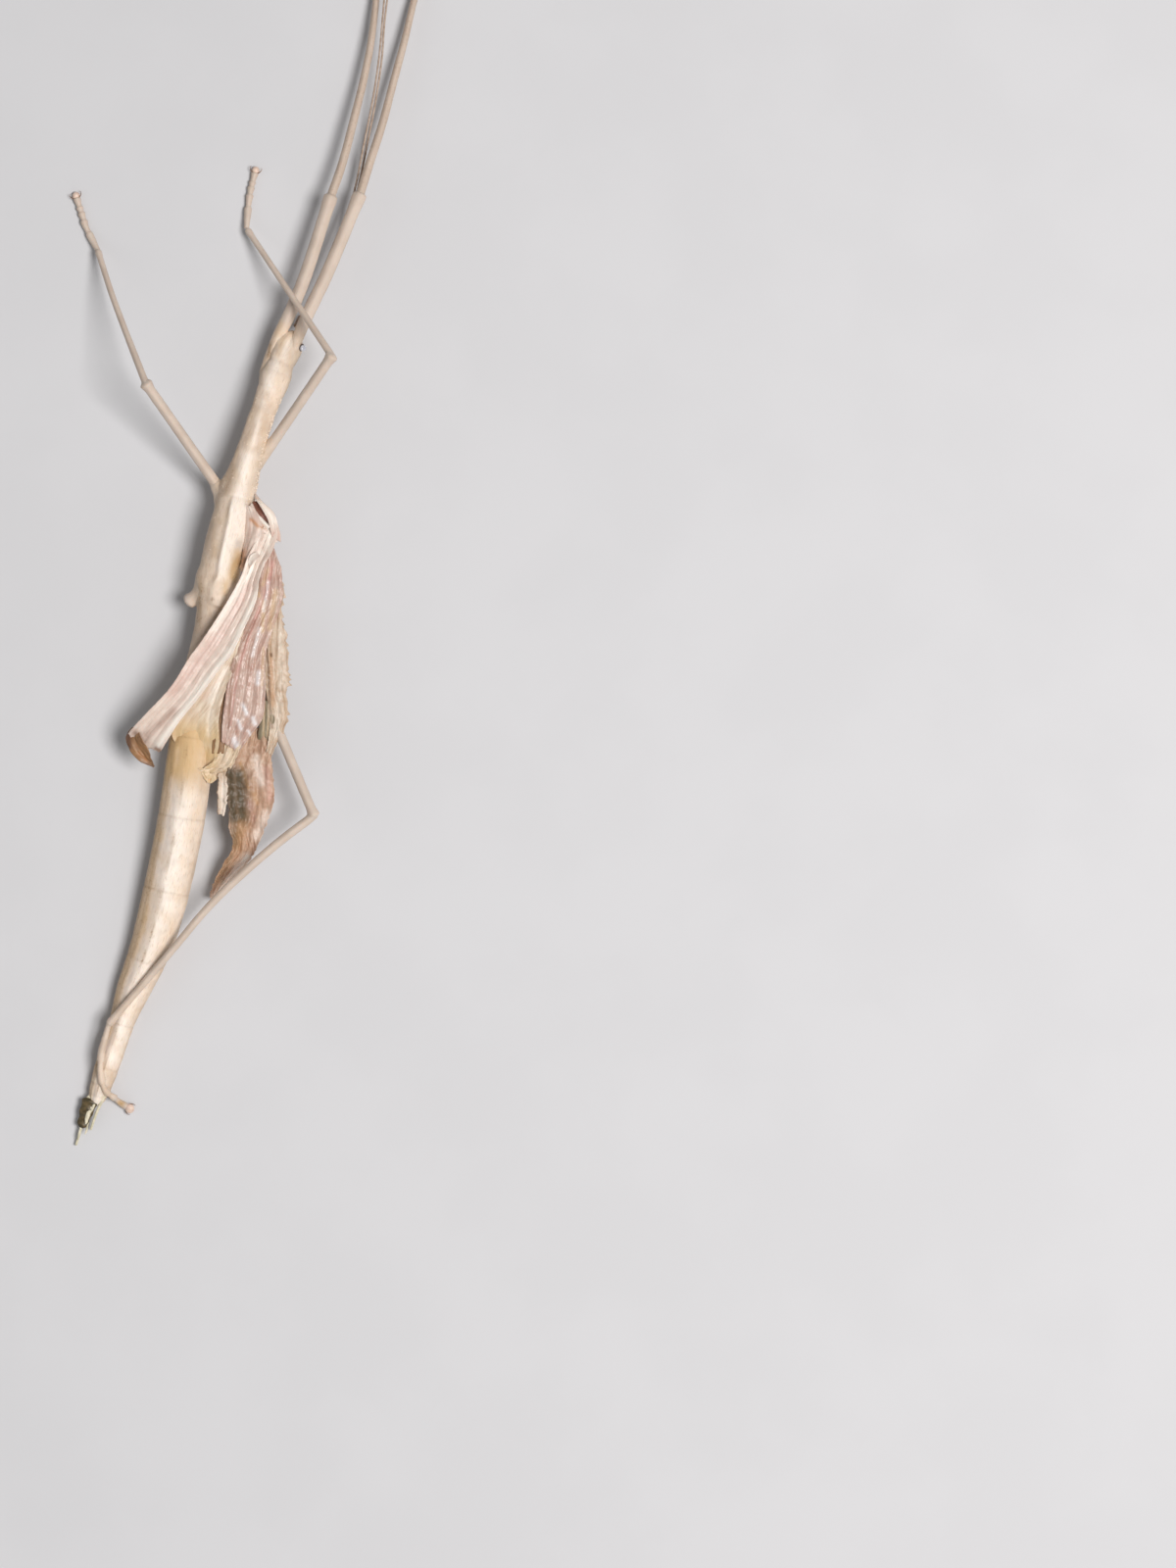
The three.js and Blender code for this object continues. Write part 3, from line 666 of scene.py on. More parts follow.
# ---- legs -----------------------------------------------------------------------------------------------
LEGS = {
    "fore_left": {
        "coxa": [(1.6, 9.6, 3.5), (1.2, 10.9, 3.5), (0.75, 12.2, 3.4)],
        "femur": [(0.6, 11.9, 3.3), (1.15, 13.6, 3.3), (2.0, 15.6, 3.4), (3.1, 17.7, 3.6), (4.6, 21.2, 3.8),
                  (7.38, 29.9, 3.3)],
        "tibia": [(7.38, 29.9, 3.3), (8.5, 33.2, 3.05), (9.58, 37.4, 2.7), (10.61, 41.7, 2.3),
                  (11.42, 46.0, 1.9), (12.2, 53.3, 0.9)],
        "tarsus": [(12.2, 53.3, 0.75), (12.35, 55.4, 0.4), (12.6, 60.2, 0.36)],
    },
    "fore_right": {
        "coxa": [(1.6, 9.8, 3.5), (2.2, 11.0, 3.5), (2.8, 12.1, 3.5)],
        "femur": [(2.85, 11.9, 3.5), (3.4, 13.6, 3.6), (4.1, 15.6, 3.7), (5.03, 17.8, 3.8), (6.9, 21.7, 3.8),
                  (10.35, 30.1, 3.3)],
        "tibia": [(10.35, 30.1, 3.3), (11.28, 33.2, 3.05), (12.6, 37.4, 2.65), (13.7, 41.7, 2.2),
                  (14.81, 46.0, 1.75), (15.8, 50.3, 1.25), (16.6, 53.1, 0.9)],
        "tarsus": [(16.6, 53.1, 0.75), (17.2, 55.1, 0.4), (18.6, 59.9, 0.36)],
    },
    "mid_left": {
        "coxa": [(-2.0, -2.6, 3.7), (-3.2, -1.2, 3.7), (-3.95, 0.0, 3.7), (-4.45, 0.75, 3.9)],
        "femur": [(-3.3, -0.9, 2.7), (-10.8, 10.2, 10.0)],
        "tibia": [(-10.8, 10.2, 10.0), (-13.75, 17.1, 5.75), (-15.0, 20.2, 3.9), (-16.6, 24.6, 1.2)],
        "tarsus": [(-16.6, 24.6, 1.0), (-17.35, 26.0, 0.5), (-17.95, 27.2, 0.4), (-18.3, 28.3, 0.38),
                   (-18.9, 30.2, 0.36)],
    },
    "mid_right": {
        "coxa": [(-2.6, -1.4, 3.5), (-1.9, -0.2, 3.2), (-1.1, 0.9, 2.8)],
        "femur": [(-1.2, 1.0, 2.7), (7.8, 13.1, 8.8)],
        "tibia": [(7.8, 13.1, 8.8), (-1.3, 26.8, 1.1)],
        "tarsus": [(-1.4, 27.0, 0.95), (-1.3, 28.8, 0.5), (-1.05, 30.8, 0.4), (-0.56, 32.8, 0.38)],
    },
    "hind_right": {
        "coxa": [(-3.9, -10.9, 2.5), (-3.2, -12.2, 2.0)],
        "femur": [(-3.1, -12.5, 2.1), (5.8, -33.2, 5.6)],
        "tibia": [(5.8, -33.2, 5.6), (1.5, -36.5, 5.3), (-4.5, -42.0, 4.7), (-8.8, -47.0, 4.1),
                  (-12.7, -51.5, 3.4), (-15.3, -54.5, 3.0)],
        "tarsus": [(-15.3, -54.5, 2.9), (-16.1, -57.5, 2.6), (-16.2, -59.6, 2.4), (-15.8, -61.3, 1.95),
                   (-14.9, -62.2, 1.0), (-14.4, -62.7, 0.5), (-13.6, -63.2, 0.36)],
    },
}
STUMP_LINE = Line([(-3.9, -9.1, 4.3), (-5.0, -9.75, 4.2), (-6.1, -10.65, 3.75), (-7.4, -11.6, 3.3)])

# Rows of [share of the length, width, height].
FEMUR_ROWS = {
    "fore": [(0, 1.0, 0.95), (0.1, 0.98, 0.9), (0.22, 1.15, 1.0), (0.35, 1.28, 1.15), (0.9, 1.26, 1.12),
             (0.965, 1.42, 1.25), (1, 1.3, 1.15)],
    "mid": [(0, 0.85, 0.85), (0.06, 1.05, 1.0), (0.5, 1.0, 0.98), (0.93, 0.98, 0.96), (0.985, 1.24, 1.16),
            (1, 1.15, 1.1)],
    "hind": [(0, 0.85, 0.85), (0.05, 1.05, 1.05), (0.5, 0.98, 0.98), (0.95, 0.92, 0.92), (0.988, 1.14, 1.06),
             (1, 1.05, 1.0)],
}
TIBIA_ROWS = {
    "fore": [(0, 0.75, 0.75), (0.03, 0.86, 0.82), (0.5, 0.76, 0.72), (0.93, 0.66, 0.66), (0.985, 0.76, 0.72),
             (1, 0.65, 0.65)],
    "mid": [(0, 0.55, 0.55), (0.04, 0.68, 0.68), (0.5, 0.6, 0.6), (0.93, 0.58, 0.58), (0.98, 0.68, 0.66),
            (1, 0.58, 0.58)],
    "hind": [(0, 0.7, 0.7), (0.04, 0.86, 0.8), (0.5, 0.76, 0.72), (0.95, 0.7, 0.68), (0.985, 0.8, 0.76),
             (1, 0.66, 0.66)],
}
COXA_ROWS = {
    "fore": [(0, 1.5, 1.5), (0.35, 1.5, 1.4), (0.75, 1.3, 1.25), (1, 1.05, 1.0)],
    "mid": [(0, 2.3, 2.0), (0.4, 2.3, 1.9), (0.75, 1.6, 1.5), (1, 1.15, 1.1)],
    "hind": [(0, 1.7, 1.6), (0.35, 1.6, 1.5), (0.75, 1.35, 1.3), (1, 1.05, 1.0)],
}
STUMP_ROWS = [(0, 3.4, 2.4), (0.3, 2.9, 2.2), (0.55, 1.8, 1.65), (0.75, 1.35, 1.3), (0.92, 1.5, 1.4),
              (1, 1.4, 1.3)]
FOOT_JOINTS = (0.42, 0.2, 0.13, 0.09, 0.16)
FOOT_THICKNESS = 0.66
# Rows of [share of a foot's joint, width, height], as shares of the foot's thickness.
JOINT_ROWS = [(0.25, 0.86, 0.86), (0.86, 1.12, 1.08), (0.97, 0.8, 0.8)]
# Rows of [part, rounding of its ends, how far it is drawn out before and after, pitch of its rings, sides,
# reach of its blend].
LEG_PARTS = [
    ("coxa", 0.5, 0, 0, 0.1, 36, 0.8),
    ("femur", 0.3, 0.3, 0.25, 0.2, 24, 0.45),
    ("tibia", 0.18, 0.3, 0.08, 0.2, 24, 0.2),
    ("tarsus", 0.12, 0.1, 0, 0.09, 16, 0.2),
]
FORE_THIGH_REACH = 0.15
STUMP_ROUNDING = 0.5
BODY_REACH = 0.8
# The layer "along" tells the parts of the skin apart: the body keeps its own millimetres, and a leg's parts
# count on from the leg's label, with one more part label for each part before them.
BODY_LABEL_END = 95
LEG_LABEL = {"fore_left": 100, "fore_right": 200, "mid_left": 300, "mid_right": 400, "hind_right": 500}
LEG_LABEL_STEP = 100
PART_LABEL = 30
STUMP_LABEL = 700


def leg_section(rows, line, ends, ridge_height=0.05):
    """Section of a leg part: oval, with low lengthwise ridges."""

    def section(shares, angles):
        full = rounding(shares, line.length, ends)
        wave = 0.03 * crumple(angles * 2, shares * line.length * 1.3, line.length)
        ridge = 1 + ridge_height * np.cos(4 * angles) + wave
        wide, high = column_of(rows, shares, 1) / 2, column_of(rows, shares, 2) / 2
        lift = np.sin(angles) * high * full * ridge
        return np.cos(angles) * wide * full * ridge, kept_up(lift, line, shares)

    return section


def foot_rows():
    """The foot's five joints: each swells to a collar at its end, with a narrow neck after it."""
    rows, at = [(0, 0.75 * FOOT_THICKNESS, 0.75 * FOOT_THICKNESS)], 0.0
    for share in FOOT_JOINTS:
        for far, wide, high in JOINT_ROWS:
            rows.append((at + far * share, wide * FOOT_THICKNESS, high * FOOT_THICKNESS))
        at += share
    return rows


def stretched(points, before, after):
    """The same points with the line drawn out past its ends, so that leg parts run into each other."""
    first, second, other, last = (Vector(points[i]) for i in (0, 1, -2, -1))
    return [first + (first - second).normalized() * before, *points[1:-1],
            last + (last - other).normalized() * after]


def leg_parts(name, places):
    """Each part of a leg in its own bmesh, with how widely it blends into its neighbours."""
    kind, made = name.split("_")[0], []
    rows = {"coxa": COXA_ROWS[kind], "femur": FEMUR_ROWS[kind], "tibia": TIBIA_ROWS[kind],
            "tarsus": foot_rows()}
    for order, (part, ends, before, after, pitch, sides, reach) in enumerate(LEG_PARTS):
        line = Line(stretched(places[part], before, after))
        label = LEG_LABEL[name] + PART_LABEL * order
        bm = new_bmesh()
        tube(bm, line, even_shares(line.length, pitch, ends), leg_section(rows[part], line, ends), sides,
             label)
        made.append((bm, FORE_THIGH_REACH if (kind, part) == ("fore", "femur") else reach))
    return made


BLEND_ROUNDS = 3
FULLEST_MOVE = 0.4
SUNK_SHARE = 0.6
TOUCHING = 0.01
FLATTEST_SLOPE = 0.3
OFF_REACH = 2


def signed_nearest(tree, place, reach):
    """How far a place lies outside a closed shape and the way out of it, or nothing where it is far off."""
    near, normal, _, gap = tree.find_nearest(place, reach)
    if near is None:
        return None
    gap = math.copysign(gap / MM, (place - near).dot(normal))
    return gap, normal if abs(gap) < TOUCHING else (place - near).normalized() * math.copysign(1, gap)


def blend(parts, first):
    """Moves the parts' points on to one smooth shape, which rounds off the creases where they run together.

    Points hidden inside another part stay below its hide. The layer "off" keeps how far a point is from the
    first part."""
    trees = [BVHTree.FromBMesh(bm) for bm, _ in parts]
    for i, (bm, reach) in enumerate(parts):
        off = bm.verts.layers.float.new("off")
        others = [(trees[k], min(reach, parts[k][1])) for k in range(len(parts)) if k != i]
        for v in bm.verts:
            start = signed_nearest(trees[first], v.co, OFF_REACH * MM) if i != first else None
            v[off] = 0 if i == first else start[0] if start else OFF_REACH
            near = [pair for pair in others if pair[0].find_nearest(v.co, pair[1] * MM)[0] is not None]
            if not near:
                continue
            place, target = v.co.copy(), 0.0
            for turn in range(BLEND_ROUNDS):
                own = signed_nearest(trees[i], place, 3 * MM)
                value, slope = (0.0, v.normal) if turn == 0 or own is None else own
                for tree, wide in near:
                    other = signed_nearest(tree, place, wide * 3 * MM)
                    if other is None:
                        continue
                    if turn == 0 and other[0] < 0:
                        target = min(target, other[0] * SUNK_SHARE)
                    share = min(max(0.5 + 0.5 * (other[0] - value) / wide, 0), 1)
                    value = other[0] * (1 - share) + value * share - wide * share * (1 - share)
                    slope = slope * share + other[1] * (1 - share)
                move = (value - target) / max(slope.length_squared, FLATTEST_SLOPE)
                place -= slope * max(min(move, FULLEST_MOVE), -FULLEST_MOVE) * MM
            v.co = place


def make_skin():
    """All of the insect's flesh in one skin: head, body, legs and the stump of the lost one."""
    body, stump, bm = new_bmesh(), new_bmesh(), new_bmesh()
    add_body(body)
    section = leg_section(STUMP_ROWS, STUMP_LINE, STUMP_ROUNDING, 0.02)
    tube(stump, STUMP_LINE, even_shares(STUMP_LINE.length, 0.1, STUMP_ROUNDING), section, 36, STUMP_LABEL)
    parts = [(body, BODY_REACH), (stump, BODY_REACH)]
    for name, places in LEGS.items():
        parts += leg_parts(name, places)
    for part, _ in parts:
        bmesh.ops.recalc_face_normals(part, faces=part.faces)
        part.normal_update()
    blend(parts, 0)
    bm.verts.layers.float.new("off")
    for part, _ in parts:
        mesh = bpy.data.meshes.new("part")
        part.to_mesh(mesh)
        part.free()
        bm.from_mesh(mesh)
        bpy.data.meshes.remove(mesh)
    leg_nodes = [f"{leg}_{row[0]}" for leg in LEGS for row in LEG_PARTS]
    skin = finish_mesh(bm, "skin", HIDE, BODY_NODES + leg_nodes + ["hind_left_stump"])
    paint_skin(skin)


# Soft strokes of colour on the hide, in plan: rows of [x0, y0, x1, y1, radius, strength].
# The ochre stroke from (-1.9, -6.6) and the rosy one from (-1.7, -5.6), beside the back plate's right side,
# are partly painted shade.
OCHRE_MARKS = [(-6.4, -22.0, -7.3, -28.0, 2.2, 1.0), (-2.6, -8.4, -3.2, -10.6, 0.4, 0.5),
               (2.3, 16.9, 2.0, 16.0, 0.4, 0.4), (-1.9, -6.6, -2.5, -8.9, 0.5, 0.7),
               (2.6, 15.2, 2.2, 13.8, 0.35, 0.25), (-14.2, -62.8, -14.4, -62.7, 0.3, 1.0)]
PALE_MARKS = [(-0.9, 3.0, -1.7, -0.6, 0.8, 0.9), (-7.6, -31.0, -9.4, -42.0, 1.4, 1.0),
              (-10.2, -44.0, -15.2, -58.0, 0.9, 1.0), (1.9, 12.6, 1.2, 10.6, 0.9, 0.8),
              (-16.7, -60.4, -16.9, -62.8, 0.9, 1.0), (0.6, 8.8, -0.4, 4.4, 0.3, 0.6),
              (3.0, 15.0, 2.5, 13.4, 0.4, 0.7)]
ROSY_MARKS = [(-1.7, -5.6, -2.4, -8.4, 0.45, 1.0), (-5.2, -13.5, -5.9, -19.0, 1.5, 0.3),
              (-14.6, -62.4, -14.1, -62.8, 0.35, 1.0), (-7.5, -11.6, -7.9, -11.9, 0.5, 0.6)]
# Two of the dark strokes are painted shade: the hollow right of the back plate, from (-1.35, -7.3), and the
# shadow between the left foreleg and the head, from (1.2, 14.8).
DARK_MARKS = [(-4.5, -11.2, -4.5, -11.3, 0.16, 1.0), (1.2, 14.8, 1.05, 13.5, 0.2, 0.9),
              (-16.0, -55.5, -16.0, -55.6, 0.15, 1.0), (-7.1, -16.4, -7.3, -17.2, 0.3, 0.7),
              (-1.35, -7.3, -1.5, -8.0, 0.2, 0.7), (-2.2, 2.2, -3.2, -0.2, 0.4, 0.4),
              (-5.6, -9.0, -5.9, -13.5, 0.3, 0.5), (-14.2, -62.85, -14.35, -62.75, 0.22, 0.5)]
MIDLINE_ANGLE = 1.68
TIBIA_ORDER = 2


def paint_skin(skin):
    """The hide's masks: markings along the body, its dark shins, painted shade on its undersides and left
    side, painted highlights on the back plate, and the strokes.
    """
    points, along, around = points_of(skin), layer_of(skin, "along"), layer_of(skin, "around")
    body = 1.0 * (along < BODY_LABEL_END)
    off = step(0.1, 1.4, layer_of(skin, "off")) * (1 - body)
    far = np.where(body > 0, along * BODY_TOTAL / BODY_LINE.length, 0)
    grain = crumple(points[:, 0] * 1.1, points[:, 1] * 0.5, points[:, 2])
    fleck = crumple(points[:, 0] * 2.4, points[:, 1] * 1.1, points[:, 2] * 2.4)
    # Bands lengthwise: painted shade down the thorax's left side, then the brown band and the rosy flank
    # beside it, partly the hide's own colour and partly painted shade on the side turned from the light; the
    # back; and the undersides, darkened as painted shade.
    left = np.clip((-np.cos(around) - 0.3) / 0.6, 0, 1) * body
    band = step(0.42, 0.7, -np.cos(around) + 0.12 * grain + 0.12 * fleck) * body
    flank = step(0.0, 0.3, -np.cos(around) + 0.12 * grain) * body * (1 - band)
    top = np.clip(np.sin(around) * 1.5, 0, 1)
    painted_shade_below = np.clip(-np.sin(around), 0, 1)
    # The abdomen's dark rings and its broken midline.
    rings = sum(hump(far, seam, 0.12) for seam in SEAMS[5:])
    broken = np.clip(0.5 + 1.5 * grain, 0, 1)
    midline = hump(around, MIDLINE_ANGLE, 0.06) * step(BELLY, BELLY + 1, far) * broken
    # The back plate, its flat top paler partly as a painted highlight, the painted highlight line down its
    # left edge, painted shade with ochre and rose on the slope down its right side, and its round end.
    across, half, on_plate = plate_place(far, around, column_of(BODY_PROFILE, far, 1) / 2)
    on_plate = on_plate * body
    plate = step(-0.1, 0.1, half - np.abs(across)) * on_plate
    edge = hump(across + half, 0.12, 0.12) * on_plate * (1 - step(MEDIAN - 2, MEDIAN - 1, far))
    falls = hump(across - half, 0.45, 0.35) * on_plate * step(20, 23, far)
    lobe = step(MEDIAN - 2, MEDIAN - 0.8, far)
    # The shins of the forelegs, and the parts of the body.
    part = (along % LEG_LABEL_STEP) // PART_LABEL
    shin = (1 - body) * (part == TIBIA_ORDER) * (along < LEG_LABEL["mid_left"])
    abdomen = step(BELLY, BELLY + 3, far) * body
    thorax = body * (1 - step(MEDIAN, BELLY, far))
    median = body * hump(far, (MEDIAN + BELLY) / 2 + 0.8, 2.2)
    # Painted shade in the dark mask: the undersides, the thorax's left side, part of the abdomen's left band
    # and the slope right of the back plate. Painted highlight in the pale mask: the back plate's left edge
    # line and part of its top.
    dark = strokes(points, DARK_MARKS) + abdomen * (0.4 * band + 0.28 * rings + 0.8 * midline)
    dark = dark + 0.2 * painted_shade_below * body + 0.2 * thorax * left + 0.28 * shin + 0.3 * median + 0.3 * falls
    dark = dark + 0.1 * (1 - body) * painted_shade_below + 0.12 * np.clip(fleck, 0, 1) * body
    pale = strokes(points, PALE_MARKS) * body * top + plate * (0.8 - 0.6 * lobe) + edge
    ochre = strokes(points, OCHRE_MARKS) + 0.5 * falls + 0.18 * body * np.clip(2 * grain, 0, 1)
    ochre = ochre + 0.4 * abdomen * band
    rosy = strokes(points, ROSY_MARKS) + 0.78 * off + 0.4 * falls + 0.55 * abdomen * flank
    rosy = rosy + 0.3 * body * np.clip(-2 * fleck, 0, 1)
    for name, values in zip(MASKS, (dark * (1 - edge), pale, rosy, ochre)):
        set_mask(skin, name, values)


# ---- head -----------------------------------------------------------------------------------------------
EYE_RADIUS = 0.35
EYE_SQUASH = (1, 1.12, 0.86)
EYE_OUT = 1.52
EYE_AT = 0.36
EYE_ROLL = 0.3
EYE_LIFT = 0.1
RIM_SUNK = 0.14
RIM_RADIUS = 0.07
FEELER_LINES = {
    "right": [(4.4, 16.4, 2.4), (5.3, 18.2, 1.8), (8.6, 25.6, 1.65), (9.8, 30.0, 1.65), (10.8, 34.5, 1.7),
              (11.8, 39.6, 1.75), (12.42, 43.8, 1.9), (12.85, 48.0, 2.0), (14.3, 59.6, 2.2),
              (15.9, 66.85, 2.2)],
    "left": [(3.7, 16.6, 2.7), (4.6, 18.4, 2.5), (8.2, 25.7, 2.2), (9.55, 30.0, 2.2), (10.53, 34.5, 2.25),
             (11.53, 39.6, 2.35), (12.17, 43.8, 2.5), (12.65, 48.0, 2.6), (13.3, 59.5, 3.0),
             (13.4, 66.75, 3.1)],
}


def rim_section(shares, angles):
    return np.cos(angles) * RIM_RADIUS + 0 * shares, np.sin(angles) * RIM_RADIUS + 0 * shares


def make_eyes():
    """Each eye stands in a dark rim. The head is rolled, so the right eye sits higher."""
    share = EYE_AT * BODY_LENGTHS[0] / BODY_TOTAL
    centre, _, side, over = BODY_LINE.frame(share)
    rims = new_bmesh()
    for name, sign in (("right", 1), ("left", -1)):
        roll = EYE_ROLL * sign
        out = side * sign * math.cos(roll) + over * (math.sin(roll) + EYE_LIFT)
        middle = centre + out * EYE_OUT
        turn = out.to_track_quat("Z", "Y").to_matrix().to_4x4()
        bm = new_bmesh()
        ball(bm, middle, EYE_RADIUS, EYE_SQUASH, turn, detail=40)
        finish_mesh(bm, f"eyeball_{name}", EYE_FINISH, [f"eye_{name}"])
        base = middle - out * RIM_SUNK
        turns = np.linspace(0, math.tau, 25)
        circle = [(math.cos(a) * EYE_RADIUS * 0.98, math.sin(a) * EYE_RADIUS * 1.08) for a in turns]
        rim = Line([base + turn.to_3x3() @ Vector((*place, 0)) for place in circle])
        tube(rims, rim, even_shares(rim.length, 0.12), rim_section, 10)
    finish_mesh(rims, "eye_rims", EYE_RIM)


def round_section(radius, ends, line, ringed=0.0, collars=0.6, taper=0.0):
    """A round rod that may taper, and may swell to a collar at every pitch."""

    def section(shares, angles):
        along = shares * line.length
        collar = 1 + ringed * hump((along / collars) % 1, 0.85, 0.12)
        r = radius * (1 - taper * shares) * collar * rounding(shares, line.length, ends)
        return np.cos(angles) * r, np.sin(angles) * r

    return section


def rod(bm, points, radius, ends=0.1, sides=12, pitch=0.15, **shape):
    line = Line(points)
    tube(bm, line, even_shares(line.length, pitch, ends), round_section(radius, ends, line, **shape), sides)


def spaced(line, start, end, count):
    """Points of a line at even steps between two shares."""
    return [line.at(start + (end - start) * k / count) for k in range(count + 1)]


FIRST_JOINT_END = 1.35
SECOND_JOINT_END = 1.9
THREAD_SWAY = 0.08


def make_feelers():
    """Long thread feelers: a stout first joint, a round second one and then a fine ringed thread."""
    for name, points in FEELER_LINES.items():
        line = Line(points)
        bm = new_bmesh()
        first, second = FIRST_JOINT_END / line.length, SECOND_JOINT_END / line.length
        rod(bm, spaced(line, 0, first, 4), radius=0.27, ends=0.18, sides=18, pitch=0.08)
        rod(bm, spaced(line, first, second, 3), radius=0.2, ends=0.16, sides=18, pitch=0.06)
        thread = spaced(line, second, 1, 60)
        sway = [Vector((noise.noise(p * 0.25), noise.noise(p * 0.25 + UP * 9), 0)) for p in thread]
        thread = [p + away * THREAD_SWAY for p, away in zip(thread, sway)]
        rod(bm, thread, radius=0.125, ends=0.1, sides=10, pitch=0.1, ringed=0.12, collars=0.55, taper=0.3)
        finish_mesh(bm, f"long_feeler_{name}", FEELER_FINISH,
                    [f"feeler_base_{name}", f"feeler_{name}"])


# Rows of [middle, how far out from it, y, z] along a palp.
LONG_PALP = [(3.4, 0.45, 15.5, 2.0), (3.4, 0.5, 15.6, 1.7), (3.5, 0.8, 16.0, 1.35), (3.6, 0.7, 16.4, 1.0)]
SHORT_PALP = [(3.2, 0.18, 15.1, 1.9), (3.2, 0.2, 15.2, 1.6), (3.3, 0.35, 15.6, 1.2), (3.4, 0.3, 15.9, 0.95)]


def make_mouthparts():
    """Upper lip, jaws and short jointed palps under the front of the head."""
    bm = new_bmesh()
    ball(bm, (3.6, 16.0, 2.1), 0.36, (1.2, 0.6, 0.9))
    for sign in (-1, 1):
        ball(bm, (3.5 + 0.36 * sign, 15.7, 1.95), 0.32, (0.8, 1.1, 1.0))
        for palp, radius, ends, collars in ((LONG_PALP, 0.11, 0.08, 0.4), (SHORT_PALP, 0.09, 0.07, 0.35)):
            line = [(x + out * sign, y, z) for x, out, y, z in palp]
            rod(bm, line, radius, ends, ringed=0.3, collars=collars, taper=0.3)
    ball(bm, (3.25, 15.1, 1.8), 0.33, (1.1, 1.3, 0.95))
    finish_mesh(bm, "mouth_pieces", MOUTH_FINISH, ["mouthparts"])


# ---- feet -----------------------------------------------------------------------------------------------
PAD_RADIUS = 0.38
HIND_PAD_RADIUS = 0.48
PAD_SQUASH = (1, 1.05, 0.85)
PAD_AHEAD = 0.2
PAD_SINK = 0.353
FOOT_HEIGHT = 0.36
CLAW_OUT = 0.26
CLAW_BACK = 0.1
CLAW_UP = 0.08
# Rows of [ahead, out, up] from a claw's root.
CLAW_CURVE = [(0.2, 0.24, 0.08), (0.48, 0.34, 0.02), (0.66, 0.26, -0.14)]


def make_claws():
    """A round pad and a pair of curved claws at the end of every foot."""
    claws, pads = new_bmesh(), new_bmesh()
    for leg, places in LEGS.items():
        pad = HIND_PAD_RADIUS if leg == "hind_right" else PAD_RADIUS
        centre, ahead, _, _ = Line(places["tarsus"]).frame(1.0)
        level = Vector((ahead.x, ahead.y, 0)).normalized()
        side = level.cross(UP)
        middle = Vector((centre.x, centre.y, max(centre.z, FOOT_HEIGHT)))
        ball(pads, middle + level * PAD_AHEAD + UP * (pad * PAD_SQUASH[2] - PAD_SINK), pad, PAD_SQUASH)
        for sign in (-1, 1):
            root = middle + side * sign * CLAW_OUT - level * CLAW_BACK + UP * CLAW_UP
            curve = [root + level * far + side * sign * out + UP * up for far, out, up in CLAW_CURVE]
            rod(claws, [root, *curve], radius=0.06, ends=0.03, pitch=0.04, taper=0.75)
    finish_mesh(claws, "claws", CLAW_FINISH)
    finish_mesh(pads, "foot_pads", PAD_FINISH)


# ---- small bumps of the hide ----------------------------------------------------------------------------
def body_point(share, angle, lift):
    """A point at a lift above the body's hide."""
    out, up = body_section(np.array([[share]]), np.array([[angle]]))
    centre, _, side, over = BODY_LINE.frame(share)
    across, high = float(out[0, 0]) + lift * math.cos(angle), float(up[0, 0]) + lift * math.sin(angle)
    return centre + side * across + over * high


TUBERCLES = 420
SIDE_SHARE = 0.55
SIDE_SIZES = (0.05, 0.11)
TOP_SIZES = (0.03, 0.055)
SUNK = -0.01


def make_tubercles():
    """Tiny pale grains scattered on the middle of the thorax, thickest down its right side."""
    bm = new_bmesh()
    for _ in range(TUBERCLES):
        at_side = rng.random() < SIDE_SHARE
        far = rng.uniform(WAIST + 0.5, WING_ROOT + 1) if at_side else rng.uniform(NECK + 0.6, MEDIAN - 0.5)
        angle = rng.gauss(0.12, 0.3) if at_side else rng.uniform(-0.2, 3.3)
        size = rng.uniform(*(SIDE_SIZES if at_side else TOP_SIZES))
        ball(bm, body_point(far / BODY_TOTAL, angle, SUNK), size, detail=8)
    finish_mesh(bm, "tubercles", HIDE_GRAIN)


# ---- tail -----------------------------------------------------------------------------------------------
CERCI = {
    "cercus_right": [(-15.75, -61.6, 1.5), (-16.25, -62.6, 1.3), (-16.85, -63.9, 1.05),
                     (-17.4, -65.5, 0.75)],
    "cercus_left": [(-17.7, -62.7, 0.9), (-18.2, -64.6, 0.75), (-18.6, -66.0, 0.6), (-18.95, -67.1, 0.4)],
}
TAIL_PLATE = Line([(-17.3, -62.2, 1.25), (-17.75, -63.4, 1.15), (-18.1, -64.5, 0.95), (-18.35, -65.3, 0.8)])
TAIL_PLATE_ROUNDING = 0.5
# Rows of [x, y, z, half length, half width, turn in plan].
TAIL_LAPS = [
    (-17.1, -63.1, 1.35, 0.7, 0.14, -0.35),
    (-17.6, -63.9, 1.36, 1.0, 0.24, -0.3),
    (-17.75, -65.3, 1.05, 0.7, 0.11, -0.35),
    (-18.5, -65.6, 0.85, 0.9, 0.12, -0.25),
    (-17.35, -62.3, 1.2, 0.5, 0.45, 0.1),
]
LAP_HALF_THICKNESS = 0.14
LAP_CRUMPLE = 0.12
LAP_SWAY = Vector((1, 0.4, 0.5))


def tail_section(shares, angles):
    """Section of the tail's plate: low and wide, narrowing to its end in a few waves."""
    full = rounding(shares, TAIL_PLATE.length, TAIL_PLATE_ROUNDING)
    wide = 0.85 - 0.35 * shares + 0.05 * np.sin(shares * 17)
    lift = np.sin(angles) * 0.3 * full * (1 + 0.2 * np.sin(shares * 23))
    return np.cos(angles) * wide * full, kept_up(lift, TAIL_PLATE, shares, 2 * ABOVE_FLOOR)


